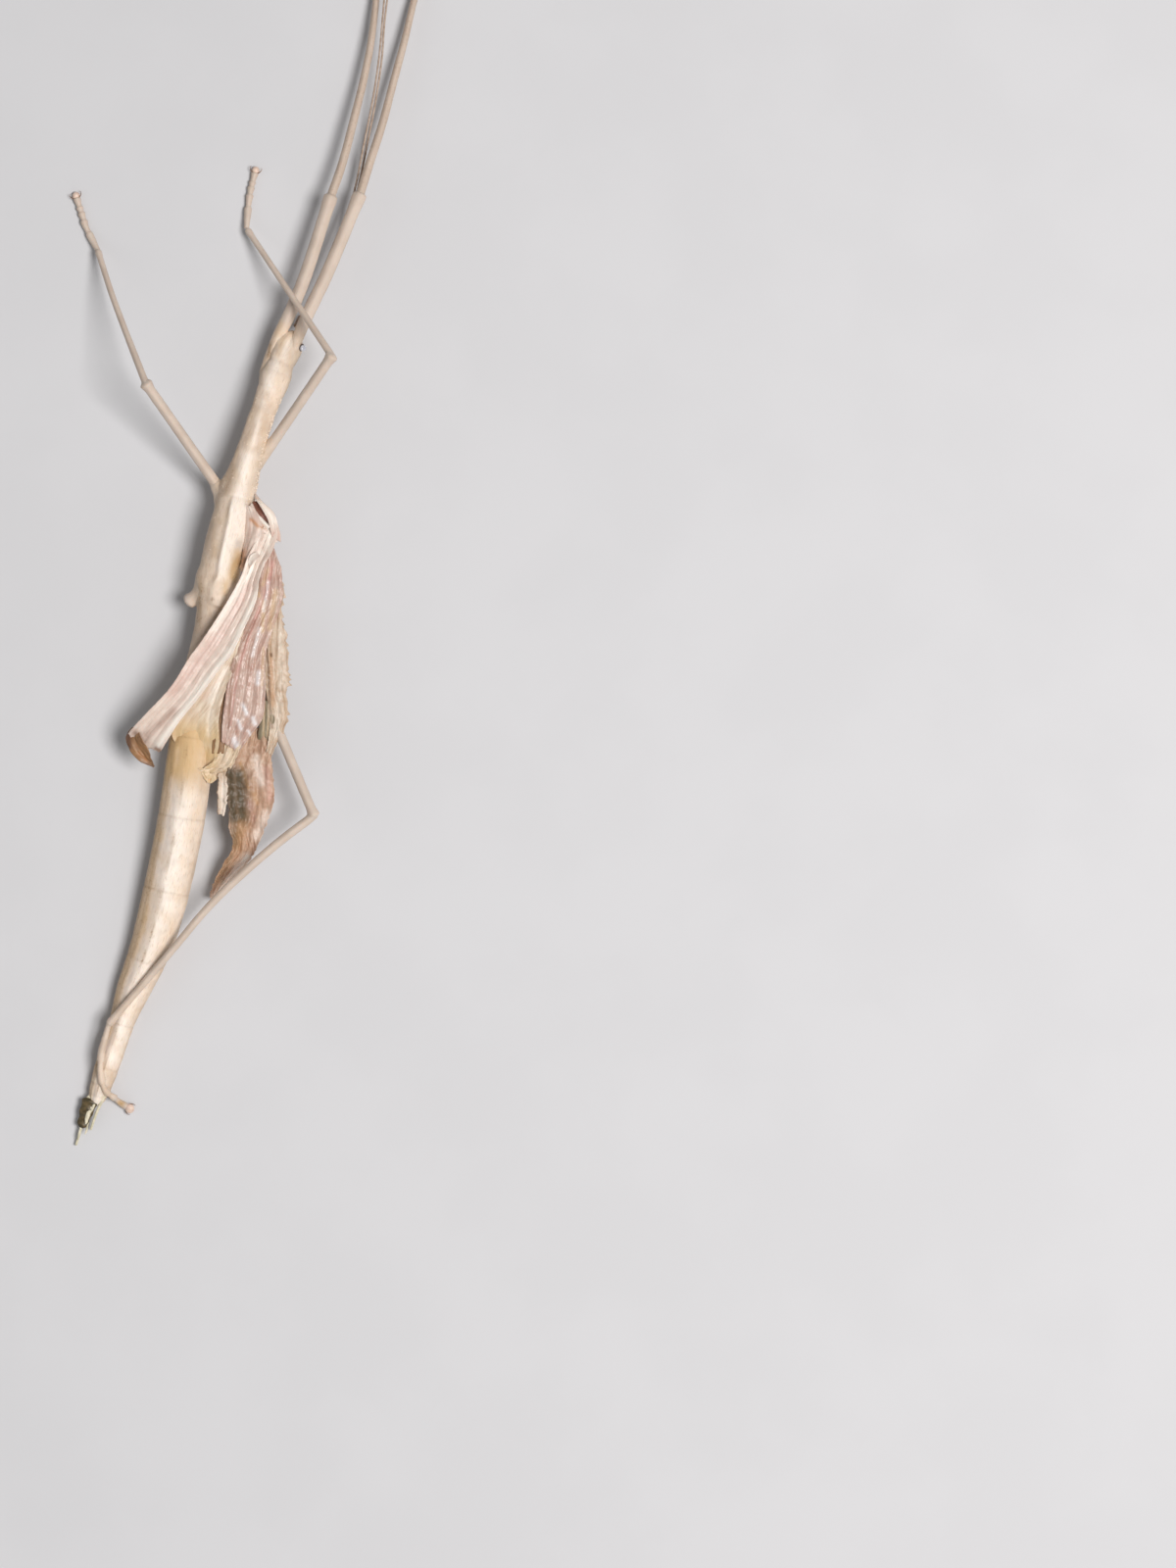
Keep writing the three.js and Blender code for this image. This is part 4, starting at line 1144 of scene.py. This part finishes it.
def make_tail():
    """Two short soft feelers of the tail and the dark plate below them, with the pale laps of its scales."""
    for name, points in CERCI.items():
        bm = new_bmesh()
        rod(bm, points, radius=0.17, ends=0.14, sides=16, pitch=0.1, taper=0.25, ringed=0.08, collars=0.5)
        finish_mesh(bm, f"tail_{name}", TAIL_PALE, [name])
    bm = new_bmesh()
    tube(bm, TAIL_PLATE, even_shares(TAIL_PLATE.length, 0.07, TAIL_PLATE_ROUNDING), tail_section, 28)
    finish_mesh(bm, "tail_shield", TAIL_DARK, ["tail_plate"])
    laps = new_bmesh()
    for x, y, z, long, wide, turn in TAIL_LAPS:
        lap = ball(laps, (x, y, z), 1.0, (wide, long, LAP_HALF_THICKNESS), Matrix.Rotation(turn, 4, "Z"))
        for v in lap:
            v.co += LAP_SWAY * noise.noise(v.co / MM * 2.5) * LAP_CRUMPLE * MM
    finish_mesh(laps, "tail_scales", TAIL_PALE)


# ---- wings ----------------------------------------------------------------------------------------------
def ridges(places):
    """Sharp folds with rounded valleys between, one to every whole number."""
    return 1 - np.abs(np.sin(math.pi * places))


SLOPE_REACH = 0.02
NARROW_SHARE = 0.35


def wing_lift(v, u, length, width, label, rise, pleats, depth, drift, wander, crinkle):
    """How far a sheet stands out from between its edges: its crown, its pleats and its creases."""
    lift = rise * (4 * u * (1 - u)) + 0 * v
    if pleats:
        folds = u * pleats + drift * v + wander * crumple(v * length * 0.35, u * 1.5, label + 5.0)
        lift = lift + depth * ridges(folds) + 0.3 * depth * ridges(folds * 2.3 + 0.4)
    lift = lift + crinkle * crumple(v * length * 0.9, u * width * 1.4, label)
    return lift + 0.4 * crinkle * crumple(v * length * 2.6, u * width * 3.4, label + 3)


def wing_fray(v, u, length, label, fray, teeth):
    """How far the side edges wander, with torn teeth down the right one."""
    wave = fray * crumple(v * length * 2.2, u * 0.8, label + 7)
    wave = wave + 0.5 * fray * crumple(v * length * 6, u * 0.8, label + 8)
    tears = ridges(v * length * 0.9 + 1.3 * crumple(v * length * 0.5, 0 * u, label + 9))
    return wave + teeth * (u > 0.5) * (tears * (0.7 + crumple(v * length * 0.9, 0 * u, label + 13)))


def wing_piece(name, slot, finish, left, right, replaced=(), rise=0.0, pleats=0, depth=0.0, drift=0.0,
               crinkle=0.06, fray=0.03, end_fray=0.0, bulge=0.0, teeth=0.0, wander=0.22, pitch=0.1,
               thickness=0.07, label=0.0, **tone_strokes):
    """A thin sheet between two edge lines. Pleats run from root to tip and converge where it is narrow.

    The label sets its noise apart from the other pieces' and shifts the bands of its finish."""
    a, b = Line(left), Line(right)
    length = (a.length + b.length) / 2
    width = max((a.at(share) - b.at(share)).length for share in np.linspace(0, 1, 12))
    rows, columns = max(6, round(length / pitch)), max(5, round(width / pitch))
    bm = new_bmesh()
    grid = new_grid(bm, rows, columns)
    along, around = bm.verts.layers.float["along"], bm.verts.layers.float["around"]
    v, u = np.linspace(0, 1, rows + 1)[:, None], np.linspace(0, 1, columns + 1)[None, :]
    spans = np.array([(a.at(share) - b.at(share)).length for share in v.ravel().tolist()])[:, None]
    lift = wing_lift(v, u, length, width, label, rise, pleats, depth, drift, wander, crinkle)
    lift = lift * np.clip(spans / (NARROW_SHARE * width), 0, 1)
    side_fray = wing_fray(v, u, length, label, fray, teeth)
    far_fray = end_fray * crumple(u * spans[-1] * 2.6, 0 * v, label + 11) + bulge * (4 * u * (1 - u))
    for vert, i, j in grid:
        # Its place between the edges, lifted, and moved outwards at the sides and the tip by the fraying.
        share, across = i / rows, j / columns
        p, q = a.at(share), b.at(share)
        side = (q - p).normalized()
        slopes = [edge.at(share + SLOPE_REACH) - edge.at(share - SLOPE_REACH) for edge in (a, b)]
        ahead = slopes[0].lerp(slopes[1], 0.5).normalized()
        over = side.cross(ahead).normalized()
        near_edge = abs(2 * across - 1) ** 4 * (1 if across > 0.5 else -1)
        place = p.lerp(q, across) + over * float(lift[i, j]) + side * near_edge * float(side_fray[i, j])
        vert.co = (place + ahead * share**5 * float(far_fray[i, j])) * MM
        vert[along], vert[around] = share * length + label, across * (q - p).length + label
    bmesh.ops.recalc_face_normals(bm, faces=bm.faces)
    bmesh.ops.solidify(bm, geom=bm.faces[:], thickness=thickness * MM)
    piece = finish_mesh(bm, name, finish, replaced)
    points = points_of(piece)
    # The strokes tint the sheet; some of them are painted shade and some painted glints.
    for mask in MASKS:
        set_mask(piece, mask, strokes(points, tone_strokes.get(mask, ())))


def make_hood():
    """The short fore wing: a curled band round a hollow, with a dark sheet in the hollow as painted shade, a
    flap below it and the skin at its base.
    """
    wing_piece(
        "hood", "wing_cream", WING_CREAM,
        [(-0.04, -1.16, 5.9), (0.65, -2.27, 6.35), (1.2, -3.3, 6.4), (1.35, -3.95, 6.3), (1.5, -4.6, 6.05),
         (1.65, -5.25, 5.7)],
        [(-0.1, -0.5, 5.3), (0.68, -1.38, 5.9), (1.78, -2.5, 6.1), (2.24, -3.8, 5.9), (2.45, -4.8, 5.4),
         (2.45, -5.4, 5.0)],
        ["tegmen"], rise=0.25, pleats=1, depth=0.06, crinkle=0.05, thickness=0.12, end_fray=0.2,
        pale=[(0.4, -1.5, 1.9, -3.4, 0.4, 0.8)], rosy=[(1.8, -4.6, 1.9, -5.3, 0.3, 0.7)],
        # The dark stroke paints shade in the notch at the band's end.
        dark=[(1.85, -4.7, 1.95, -5.4, 0.16, 0.5)], label=10)
    wing_piece(
        "hood_flap", "wing_cream", WING_CREAM,
        [(-0.95, -1.9, 6.0), (-0.55, -3.0, 6.4), (0.0, -3.75, 6.5), (0.6, -4.4, 6.5), (1.0, -4.7, 6.4)],
        [(-0.5, -1.5, 5.9), (-0.05, -2.3, 6.2), (0.5, -2.96, 6.3), (0.95, -3.48, 6.35), (1.38, -3.95, 6.35)],
        ["tegmen_flap"], rise=0.15, pleats=2, depth=0.2, thickness=0.1, end_fray=0.2,
        # The ochre and rosy strokes below the flap's pale ridge are painted shade.
        ochre=[(-0.2, -3.1, 0.6, -4.0, 0.3, 0.8)], rosy=[(-0.1, -3.3, 0.3, -3.7, 0.3, 0.8)],
        pale=[(-0.5, -2.2, 1.2, -3.85, 0.2, 1.0)], label=20)
    # A dark sheet laid in the hollow under the band: painted shade.
    wing_piece(
        "hood_hollow_shade", "wing_brown", WING_SHADE,
        [(-0.5, -1.4, 5.1), (-0.1, -2.4, 5.4), (0.6, -3.4, 5.4), (1.1, -4.3, 5.5), (1.4, -5.3, 5.4)],
        [(0.2, -1.2, 5.1), (0.95, -2.4, 5.3), (1.5, -3.4, 5.3), (1.95, -4.4, 5.2), (2.05, -5.5, 5.1)],
        crinkle=0.1, rosy=[(0.8, -2.8, 1.2, -3.4, 0.3, 0.8)], pale=[(1.3, -3.9, 1.9, -5.4, 0.5, 0.85)],
        label=25)
    wing_piece(
        "wing_base", "wing_cream", WING_CREAM,
        [(-1.25, -1.4, 5.6), (-1.2, -3.68, 5.9), (-1.35, -5.75, 5.6), (-1.6, -7.8, 5.1)],
        [(-0.3, -2.0, 6.2), (0.6, -4.2, 6.4), (-0.2, -6.6, 6.6), (-1.1, -8.8, 6.3)],
        rise=-0.25, pleats=2, depth=0.12, crinkle=0.1, thickness=0.1,
        # The ochre stroke under the flap and the first dark stroke, in the hollow beside the back plate, are
        # painted shade.
        ochre=[(-1.2, -6.5, -1.5, -7.8, 0.4, 0.6), (-0.5, -3.2, 0.2, -3.9, 0.22, 0.9)],
        dark=[(-1.1, -7.2, -1.15, -8.0, 0.2, 0.9), (-0.5, -4.4, -1.0, -6.4, 0.4, 0.25)],
        rosy=[(-0.2, -2.9, 0.1, -3.4, 0.4, 0.3)], label=28)


def make_strap():
    """The front of the hind wing: a long pleated strap that crosses the back and hooks over at its tip, with
    the membrane along its side."""
    wing_piece(
        "strap", "wing_cream", WING_CREAM,
        [(0.95, -3.6, 6.3), (0.25, -4.9, 6.6), (-0.8, -6.9, 6.9), (-1.48, -8.89, 7.0), (-2.86, -11.47, 7.1),
         (-5.63, -15.73, 7.1), (-6.68, -17.12, 7.0), (-8.64, -20.18, 6.8), (-11.07, -22.75, 6.3),
         (-12.53, -24.23, 5.6), (-13.15, -24.9, 4.9)],
        [(1.85, -3.5, 6.0), (2.15, -4.5, 5.85), (1.9, -5.7, 6.1), (1.5, -6.75, 6.6), (0.89, -7.8, 6.9),
         (0.35, -9.39, 7.0), (0.21, -10.78, 7.1), (-0.18, -12.17, 7.2), (-1.27, -14.55, 7.2),
         (-2.36, -16.83, 7.2), (-3.66, -18.41, 7.0), (-5.76, -21.28, 6.8), (-7.8, -23.75, 6.2),
         (-9.15, -25.73, 5.6), (-9.8, -26.71, 5.0)],
        ["hindwing_strap"], rise=0.4, pleats=4, depth=0.09, drift=0.1, wander=0.06, crinkle=0.04, fray=0.03,
        end_fray=0.25, bulge=0.7, thickness=0.1,
        rosy=[(-0.9, -10.2, -3.5, -14.8, 0.5, 0.3), (-3.5, -14.8, -8.5, -20.7, 0.7, 0.4)],
        dark=[(-8.4, -22.6, -11.2, -25.0, 0.4, 0.35), (-12.3, -24.9, -12.0, -25.6, 0.4, 0.8),
              (-9.9, -26.6, -10.3, -26.4, 0.25, 0.9)],
        pale=[(-2.5, -16.4, -6.9, -22.0, 0.4, 0.95), (-6.9, -22.0, -10.1, -26.2, 0.4, 0.95),
              (0.5, -6.6, -1.1, -9.3, 0.4, 0.75), (-1.1, -9.3, -4.2, -14.3, 0.35, 0.7),
              (1.3, -4.2, 1.2, -6.2, 0.4, 0.7), (1.0, -7.6, 0.2, -10.8, 0.3, 0.6),
              (0.1, -10.8, -2.5, -16.6, 0.35, 0.9)], label=30)
    wing_piece(
        "strap_hook", "wing_brown", WING_BROWN,
        [(-12.75, -24.2, 5.0), (-13.3, -24.92, 4.8), (-13.42, -25.52, 4.6), (-13.0, -26.61, 4.4),
         (-12.3, -27.5, 4.3), (-11.48, -28.0, 4.2), (-10.65, -28.35, 4.0)],
        [(-12.0, -24.4, 5.3), (-11.9, -25.1, 5.3), (-11.55, -25.7, 5.2), (-11.2, -26.3, 5.0),
         (-10.95, -26.9, 4.8), (-10.8, -27.5, 4.5), (-10.5, -28.2, 4.1)],
        rise=0.25, pleats=2, depth=0.1, crinkle=0.14,
        dark=[(-13.2, -24.9, -13.1, -26.2, 0.35, 0.9), (-11.8, -28.0, -10.8, -28.3, 0.3, 0.6)],
        ochre=[(-12.0, -26.9, -11.3, -27.6, 0.25, 0.4)], label=33)
    wing_piece(
        "strap_tongue", "wing_cream", WING_CREAM,
        [(0.07, -6.49, 6.65), (-0.5, -6.81, 6.95), (-0.85, -7.59, 6.85)],
        [(0.48, -6.99, 6.95), (-0.11, -7.59, 7.15), (-0.62, -8.18, 6.85)],
        rise=0.1, pale=[(-0.4, -7.0, -0.5, -7.4, 0.6, 0.6)], label=35)
    wing_piece(
        "membrane", "wing_brown", WING_TAN,
        [(-1.6, -13.6, 6.7), (-3.0, -16.9, 6.85), (-4.3, -18.4, 6.65), (-6.4, -21.3, 6.4),
         (-8.2, -23.7, 5.8), (-8.7, -25.0, 5.0), (-8.2, -26.2, 4.4), (-7.8, -27.8, 3.8)],
        [(-1.1, -13.8, 6.4), (-1.8, -16.9, 6.1), (-2.5, -19.0, 6.1), (-3.4, -21.4, 6.0), (-3.82, -23.4, 5.7),
         (-3.9, -26.2, 5.15), (-4.4, -27.6, 4.8), (-5.3, -29.0, 4.2)],
        ["hindwing_membrane"], rise=0.35, pleats=3, depth=0.08, drift=-0.4, crinkle=0.05, fray=0.015,
        end_fray=0.08,
        rosy=[(-3.2, -18.6, -5.2, -21.2, 0.4, 0.25), (-6.9, -24.6, -7.2, -25.6, 0.25, 0.7)],
        ochre=[(-7.8, -24.8, -4.6, -25.2, 1.5, 0.9), (-8.4, -26.6, -4.6, -27.2, 1.5, 1.0)],
        pale=[(-4.6, -22.6, -4.9, -25.0, 0.3, 0.35), (-3.2, -18.4, -4.6, -21.6, 0.5, 0.5)],
        dark=[(-7.0, -25.3, -7.3, -26.2, 0.16, 0.5)], label=40)
    # A brown sheet down in the slit between the membrane and the fan: painted shade in the gap.
    wing_piece(
        "membrane_slit_shade", "wing_brown", WING_BROWN,
        [(-3.2, -18.9, 5.4), (-3.9, -21.6, 5.5), (-4.4, -24.4, 5.3), (-4.6, -26.9, 4.8)],
        [(-2.2, -18.9, 5.5), (-2.9, -21.6, 5.5), (-3.2, -24.4, 5.3), (-3.4, -26.9, 4.9)],
        rise=-0.1, crinkle=0.05, dark=[(-3.75, -22.4, -3.95, -26.0, 0.08, 0.5)], label=45)


def make_fan():
    """The rest of the hind wing: a glossy pleated fan, the lumpy ribbon along its edge and the rags below."""
    wing_piece(
        "fan", "wing_pink", WING_ROSE,
        [(0.9, -6.2, 5.9), (0.33, -9.34, 6.0), (-0.05, -11.64, 6.3), (-1.23, -14.42, 6.4),
         (-2.13, -16.7, 6.3), (-2.85, -19.28, 6.2), (-3.25, -21.86, 6.1), (-3.5, -24.04, 5.9),
         (-3.55, -25.73, 5.6)],
        [(1.8, -6.1, 5.8), (2.2, -7.3, 5.7), (2.52, -8.2, 5.65), (2.6, -9.4, 5.6), (2.72, -10.7, 5.6),
         (2.45, -12.0, 5.6), (1.6, -14.59, 5.7), (0.95, -16.78, 5.7), (0.85, -20.65, 5.6),
         (0.55, -23.34, 5.4), (-0.5, -24.83, 5.2), (-1.95, -26.81, 4.9)],
        ["hindwing_fan"], rise=0.1, pleats=4, depth=0.2, drift=0.3, crinkle=0.14, end_fray=0.3,
        rosy=[(1.63, -7.5, 0.93, -10.7, 0.25, 1.0), (0.93, -10.7, -0.16, -13.3, 0.16, 1.0),
              (-0.16, -13.3, -1.85, -18.4, 0.16, 1.0), (-1.9, -18.4, -2.7, -24.0, 0.14, 0.8)],
        dark=[(-0.2, -13.4, -1.5, -15.8, 0.14, 0.55), (-1.55, -15.6, -2.55, -19.4, 0.15, 0.6),
              (-2.55, -19.4, -2.86, -24.3, 0.13, 0.6)],
        ochre=[(0.75, -11.5, 0.6, -14.5, 0.2, 0.8), (0.0, -9.8, 0.3, -11.0, 0.15, 0.8),
               (1.9, -10.5, 1.3, -14.2, 0.3, 0.7), (1.2, -8.2, 0.6, -9.8, 0.2, 0.6),
               (0.7, -16.2, 0.5, -20.0, 0.15, 0.6)],
        # The pale strokes low on the fan, from y -22 down, are painted glints on its glossy skin; the ones
        # higher up are its cream stripes.
        pale=[(-1.4, -22.0, -1.0, -22.9, 0.22, 1.0), (-0.4, -23.3, -0.2, -23.9, 0.22, 1.0),
              (-2.3, -25.5, -2.1, -26.1, 0.3, 1.0), (-1.9, -23.6, -1.6, -24.4, 0.2, 0.8),
              (-0.9, -24.6, -0.7, -25.0, 0.15, 0.9), (0.2, -18.7, 0.1, -19.8, 0.25, 0.9),
              (0.3, -14.2, -0.4, -17.0, 0.2, 0.6), (1.2, -9.5, 0.7, -12.5, 0.15, 0.6)], label=50)
    wing_piece(
        "ribbon", "wing_cream", WING_RAG,
        [(2.14, -8.7, 5.0), (1.77, -11.1, 5.3), (1.28, -13.29, 5.4), (0.9, -16.67, 5.4), (0.95, -20.5, 5.4),
         (1.2, -22.4, 5.2), (1.3, -24.5, 5.0), (0.9, -26.8, 4.8)],
        [(2.63, -9.48, 4.8), (2.73, -10.58, 4.9), (2.5, -12.2, 5.0), (2.66, -13.5, 5.0), (2.85, -14.9, 5.0),
         (3.0, -16.5, 5.0), (3.0, -18.0, 5.0), (3.25, -19.5, 4.9), (2.85, -21.0, 4.9), (3.05, -22.3, 4.9),
         (2.9, -23.8, 4.8), (2.3, -25.0, 4.8), (1.35, -27.0, 4.7)],
        ["hindwing_edge"], rise=0.15, pleats=2, depth=0.16, drift=0.2, crinkle=0.16, fray=0.08, teeth=0.45,
        end_fray=0.3, pitch=0.08,
        dark=[(0.95, -15.9, 1.2, -19.3, 0.12, 0.8), (1.2, -19.3, 1.3, -21.6, 0.12, 0.8),
              (1.3, -21.6, 1.5, -24.3, 0.12, 0.6), (1.43, -16.8, 1.45, -17.0, 0.12, 1.0)],
        ochre=[(1.2, -12.6, 1.1, -15.6, 0.25, 0.6), (1.4, -17.0, 1.6, -22.0, 0.2, 0.4)],
        pale=[(2.3, -14.0, 2.6, -20.0, 0.4, 0.3), (2.2, -21.0, 1.9, -25.0, 0.3, 0.4)], label=60)
    wing_piece(
        "ribbon_window", "wing_brown", WING_OLIVE,
        [(0.4, -21.6, 5.0), (0.3, -23.4, 4.95), (0.1, -24.8, 4.7), (0.0, -25.6, 4.2)],
        [(1.6, -21.4, 4.9), (1.7, -23.6, 4.8), (1.5, -25.0, 4.5), (1.4, -25.8, 4.1)],
        rise=-0.1, pleats=3, depth=0.08, crinkle=0.08, end_fray=0.1, fray=0.05,
        ochre=[(0.75, -21.6, 0.6, -25.2, 0.1, 0.9), (1.2, -21.6, 1.05, -25.2, 0.09, 0.8),
               (1.5, -22.4, 1.4, -25.2, 0.07, 0.7)], label=65)
    wing_piece(
        "lobe", "wing_brown", WING_LOBE,
        [(-1.7, -24.4, 4.75), (-2.35, -26.6, 4.95), (-3.1, -28.8, 4.7), (-3.17, -30.0, 4.6),
         (-3.08, -31.4, 4.5), (-2.89, -32.89, 4.3), (-2.92, -34.59, 4.0), (-2.55, -36.39, 3.6),
         (-3.93, -38.71, 2.7), (-4.79, -40.42, 2.0), (-5.12, -41.64, 1.6)],
        [(1.0, -24.2, 4.6), (1.25, -26.2, 4.75), (1.47, -27.91, 4.6), (1.6, -29.7, 4.4), (1.63, -31.6, 4.1),
         (1.05, -33.59, 3.7), (0.02, -36.0, 3.2), (-0.92, -37.9, 2.8), (-2.67, -39.52, 2.2),
         (-3.91, -40.83, 1.7), (-4.64, -42.04, 1.4)],
        ["wing_lobe"], rise=0.3, pleats=3, depth=0.15, drift=0.2, crinkle=0.24, fray=0.12, end_fray=0.4,
        dark=[(-2.75, -28.9, -2.45, -33.4, 0.9, 1.0), (-1.95, -29.1, -1.65, -33.2, 0.9, 1.0),
              (-2.4, -33.6, -2.5, -36.0, 0.6, 0.6), (-3.0, -37.4, -3.9, -39.6, 0.4, 0.4)],
        ochre=[(-1.75, -27.9, -1.0, -30.4, 0.2, 1.0), (-1.5, -33.2, -2.3, -36.2, 0.7, 0.9),
               (-2.3, -36.2, -4.2, -39.8, 0.6, 0.5), (-0.45, -31.0, -0.15, -31.9, 0.3, 0.7)],
        rosy=[(0.9, -28.5, 1.2, -31.5, 0.4, 0.5), (-0.9, -32.0, -0.6, -33.5, 0.4, 0.6)],
        pale=[(-0.17, -27.4, 0.33, -29.9, 0.45, 0.6), (0.9, -33.0, -0.17, -35.4, 0.5, 0.55),
              (-1.2, -37.4, -4.5, -41.6, 0.4, 0.8)], label=70)
    wing_piece(
        "torn_rag", "wing_cream", WING_TAN,
        [(-3.7, -25.2, 5.0), (-4.1, -26.6, 5.1), (-4.6, -27.8, 5.1), (-5.93, -28.7, 4.95)],
        [(-1.5, -25.6, 4.9), (-1.93, -26.82, 5.05), (-2.65, -28.31, 4.8), (-3.47, -29.1, 4.5)],
        rise=0.1, pleats=3, depth=0.14, crinkle=0.2, fray=0.15, end_fray=0.4,
        ochre=[(-4.0, -25.6, -4.9, -28.4, 0.8, 0.8), (-2.4, -26.6, -3.2, -28.6, 0.5, 0.4)],
        pale=[(-2.8, -27.0, -3.2, -28.2, 0.3, 0.3)], label=75)
    wing_piece(
        "torn_flap", "wing_cream", WING_TAN,
        [(-6.05, -28.45, 5.05), (-5.3, -29.6, 4.7), (-5.0, -29.9, 4.5)],
        [(-3.46, -28.5, 4.9), (-4.1, -29.6, 4.4), (-4.7, -29.95, 4.2)],
        rise=0.15, pleats=2, depth=0.16, crinkle=0.2, fray=0.14, end_fray=0.2,
        rosy=[(-5.9, -28.6, -4.0, -29.0, 0.2, 0.3)],
        ochre=[(-5.8, -28.7, -4.6, -29.6, 1.0, 0.7)], label=78)
    wing_piece(
        "shred", "wing_cream", WING_RAG,
        [(-3.85, -28.9, 4.8), (-3.85, -29.6, 4.7), (-3.95, -31.0, 4.5), (-4.0, -31.9, 4.2),
         (-3.9, -33.1, 3.8)],
        [(-3.35, -28.8, 4.8), (-3.2, -30.3, 4.6), (-3.3, -31.69, 4.4), (-3.4, -32.4, 4.0),
         (-3.6, -33.3, 3.7)],
        ["wing_shred"], rise=0.25, crinkle=0.2, fray=0.25, teeth=0.3, thickness=0.2, end_fray=0.2,
        pale=[(-3.4, -30.0, -3.5, -33.0, 0.5, 0.7)], label=80)


def make_floor():
    """A pale floor in two close greys."""
    material, tree, shader = new_material("floor", 0.7)
    where = node(tree, "TexCoord").outputs["Object"]
    mottle = use_group(tree, MOTTLE, {"Vector": where, "Patches": 60.0, "Freckles": 3000.0})
    grey = mixed(tree, mottle["Patch"], tint(*FLOOR_GREY), tint(*FLOOR_LIGHT_GREY))
    tree.links.new(grey, shader.inputs["Base Color"])
    bm = bmesh.new()
    bmesh.ops.create_grid(bm, x_segments=1, y_segments=1, size=FLOOR_SIZE)
    new_piece(bm, "floor", material)


make_camera()
make_lights()
make_skin()
make_eyes()
make_mouthparts()
make_feelers()
make_claws()
make_tubercles()
make_tail()
make_hood()
make_strap()
make_fan()
make_floor()
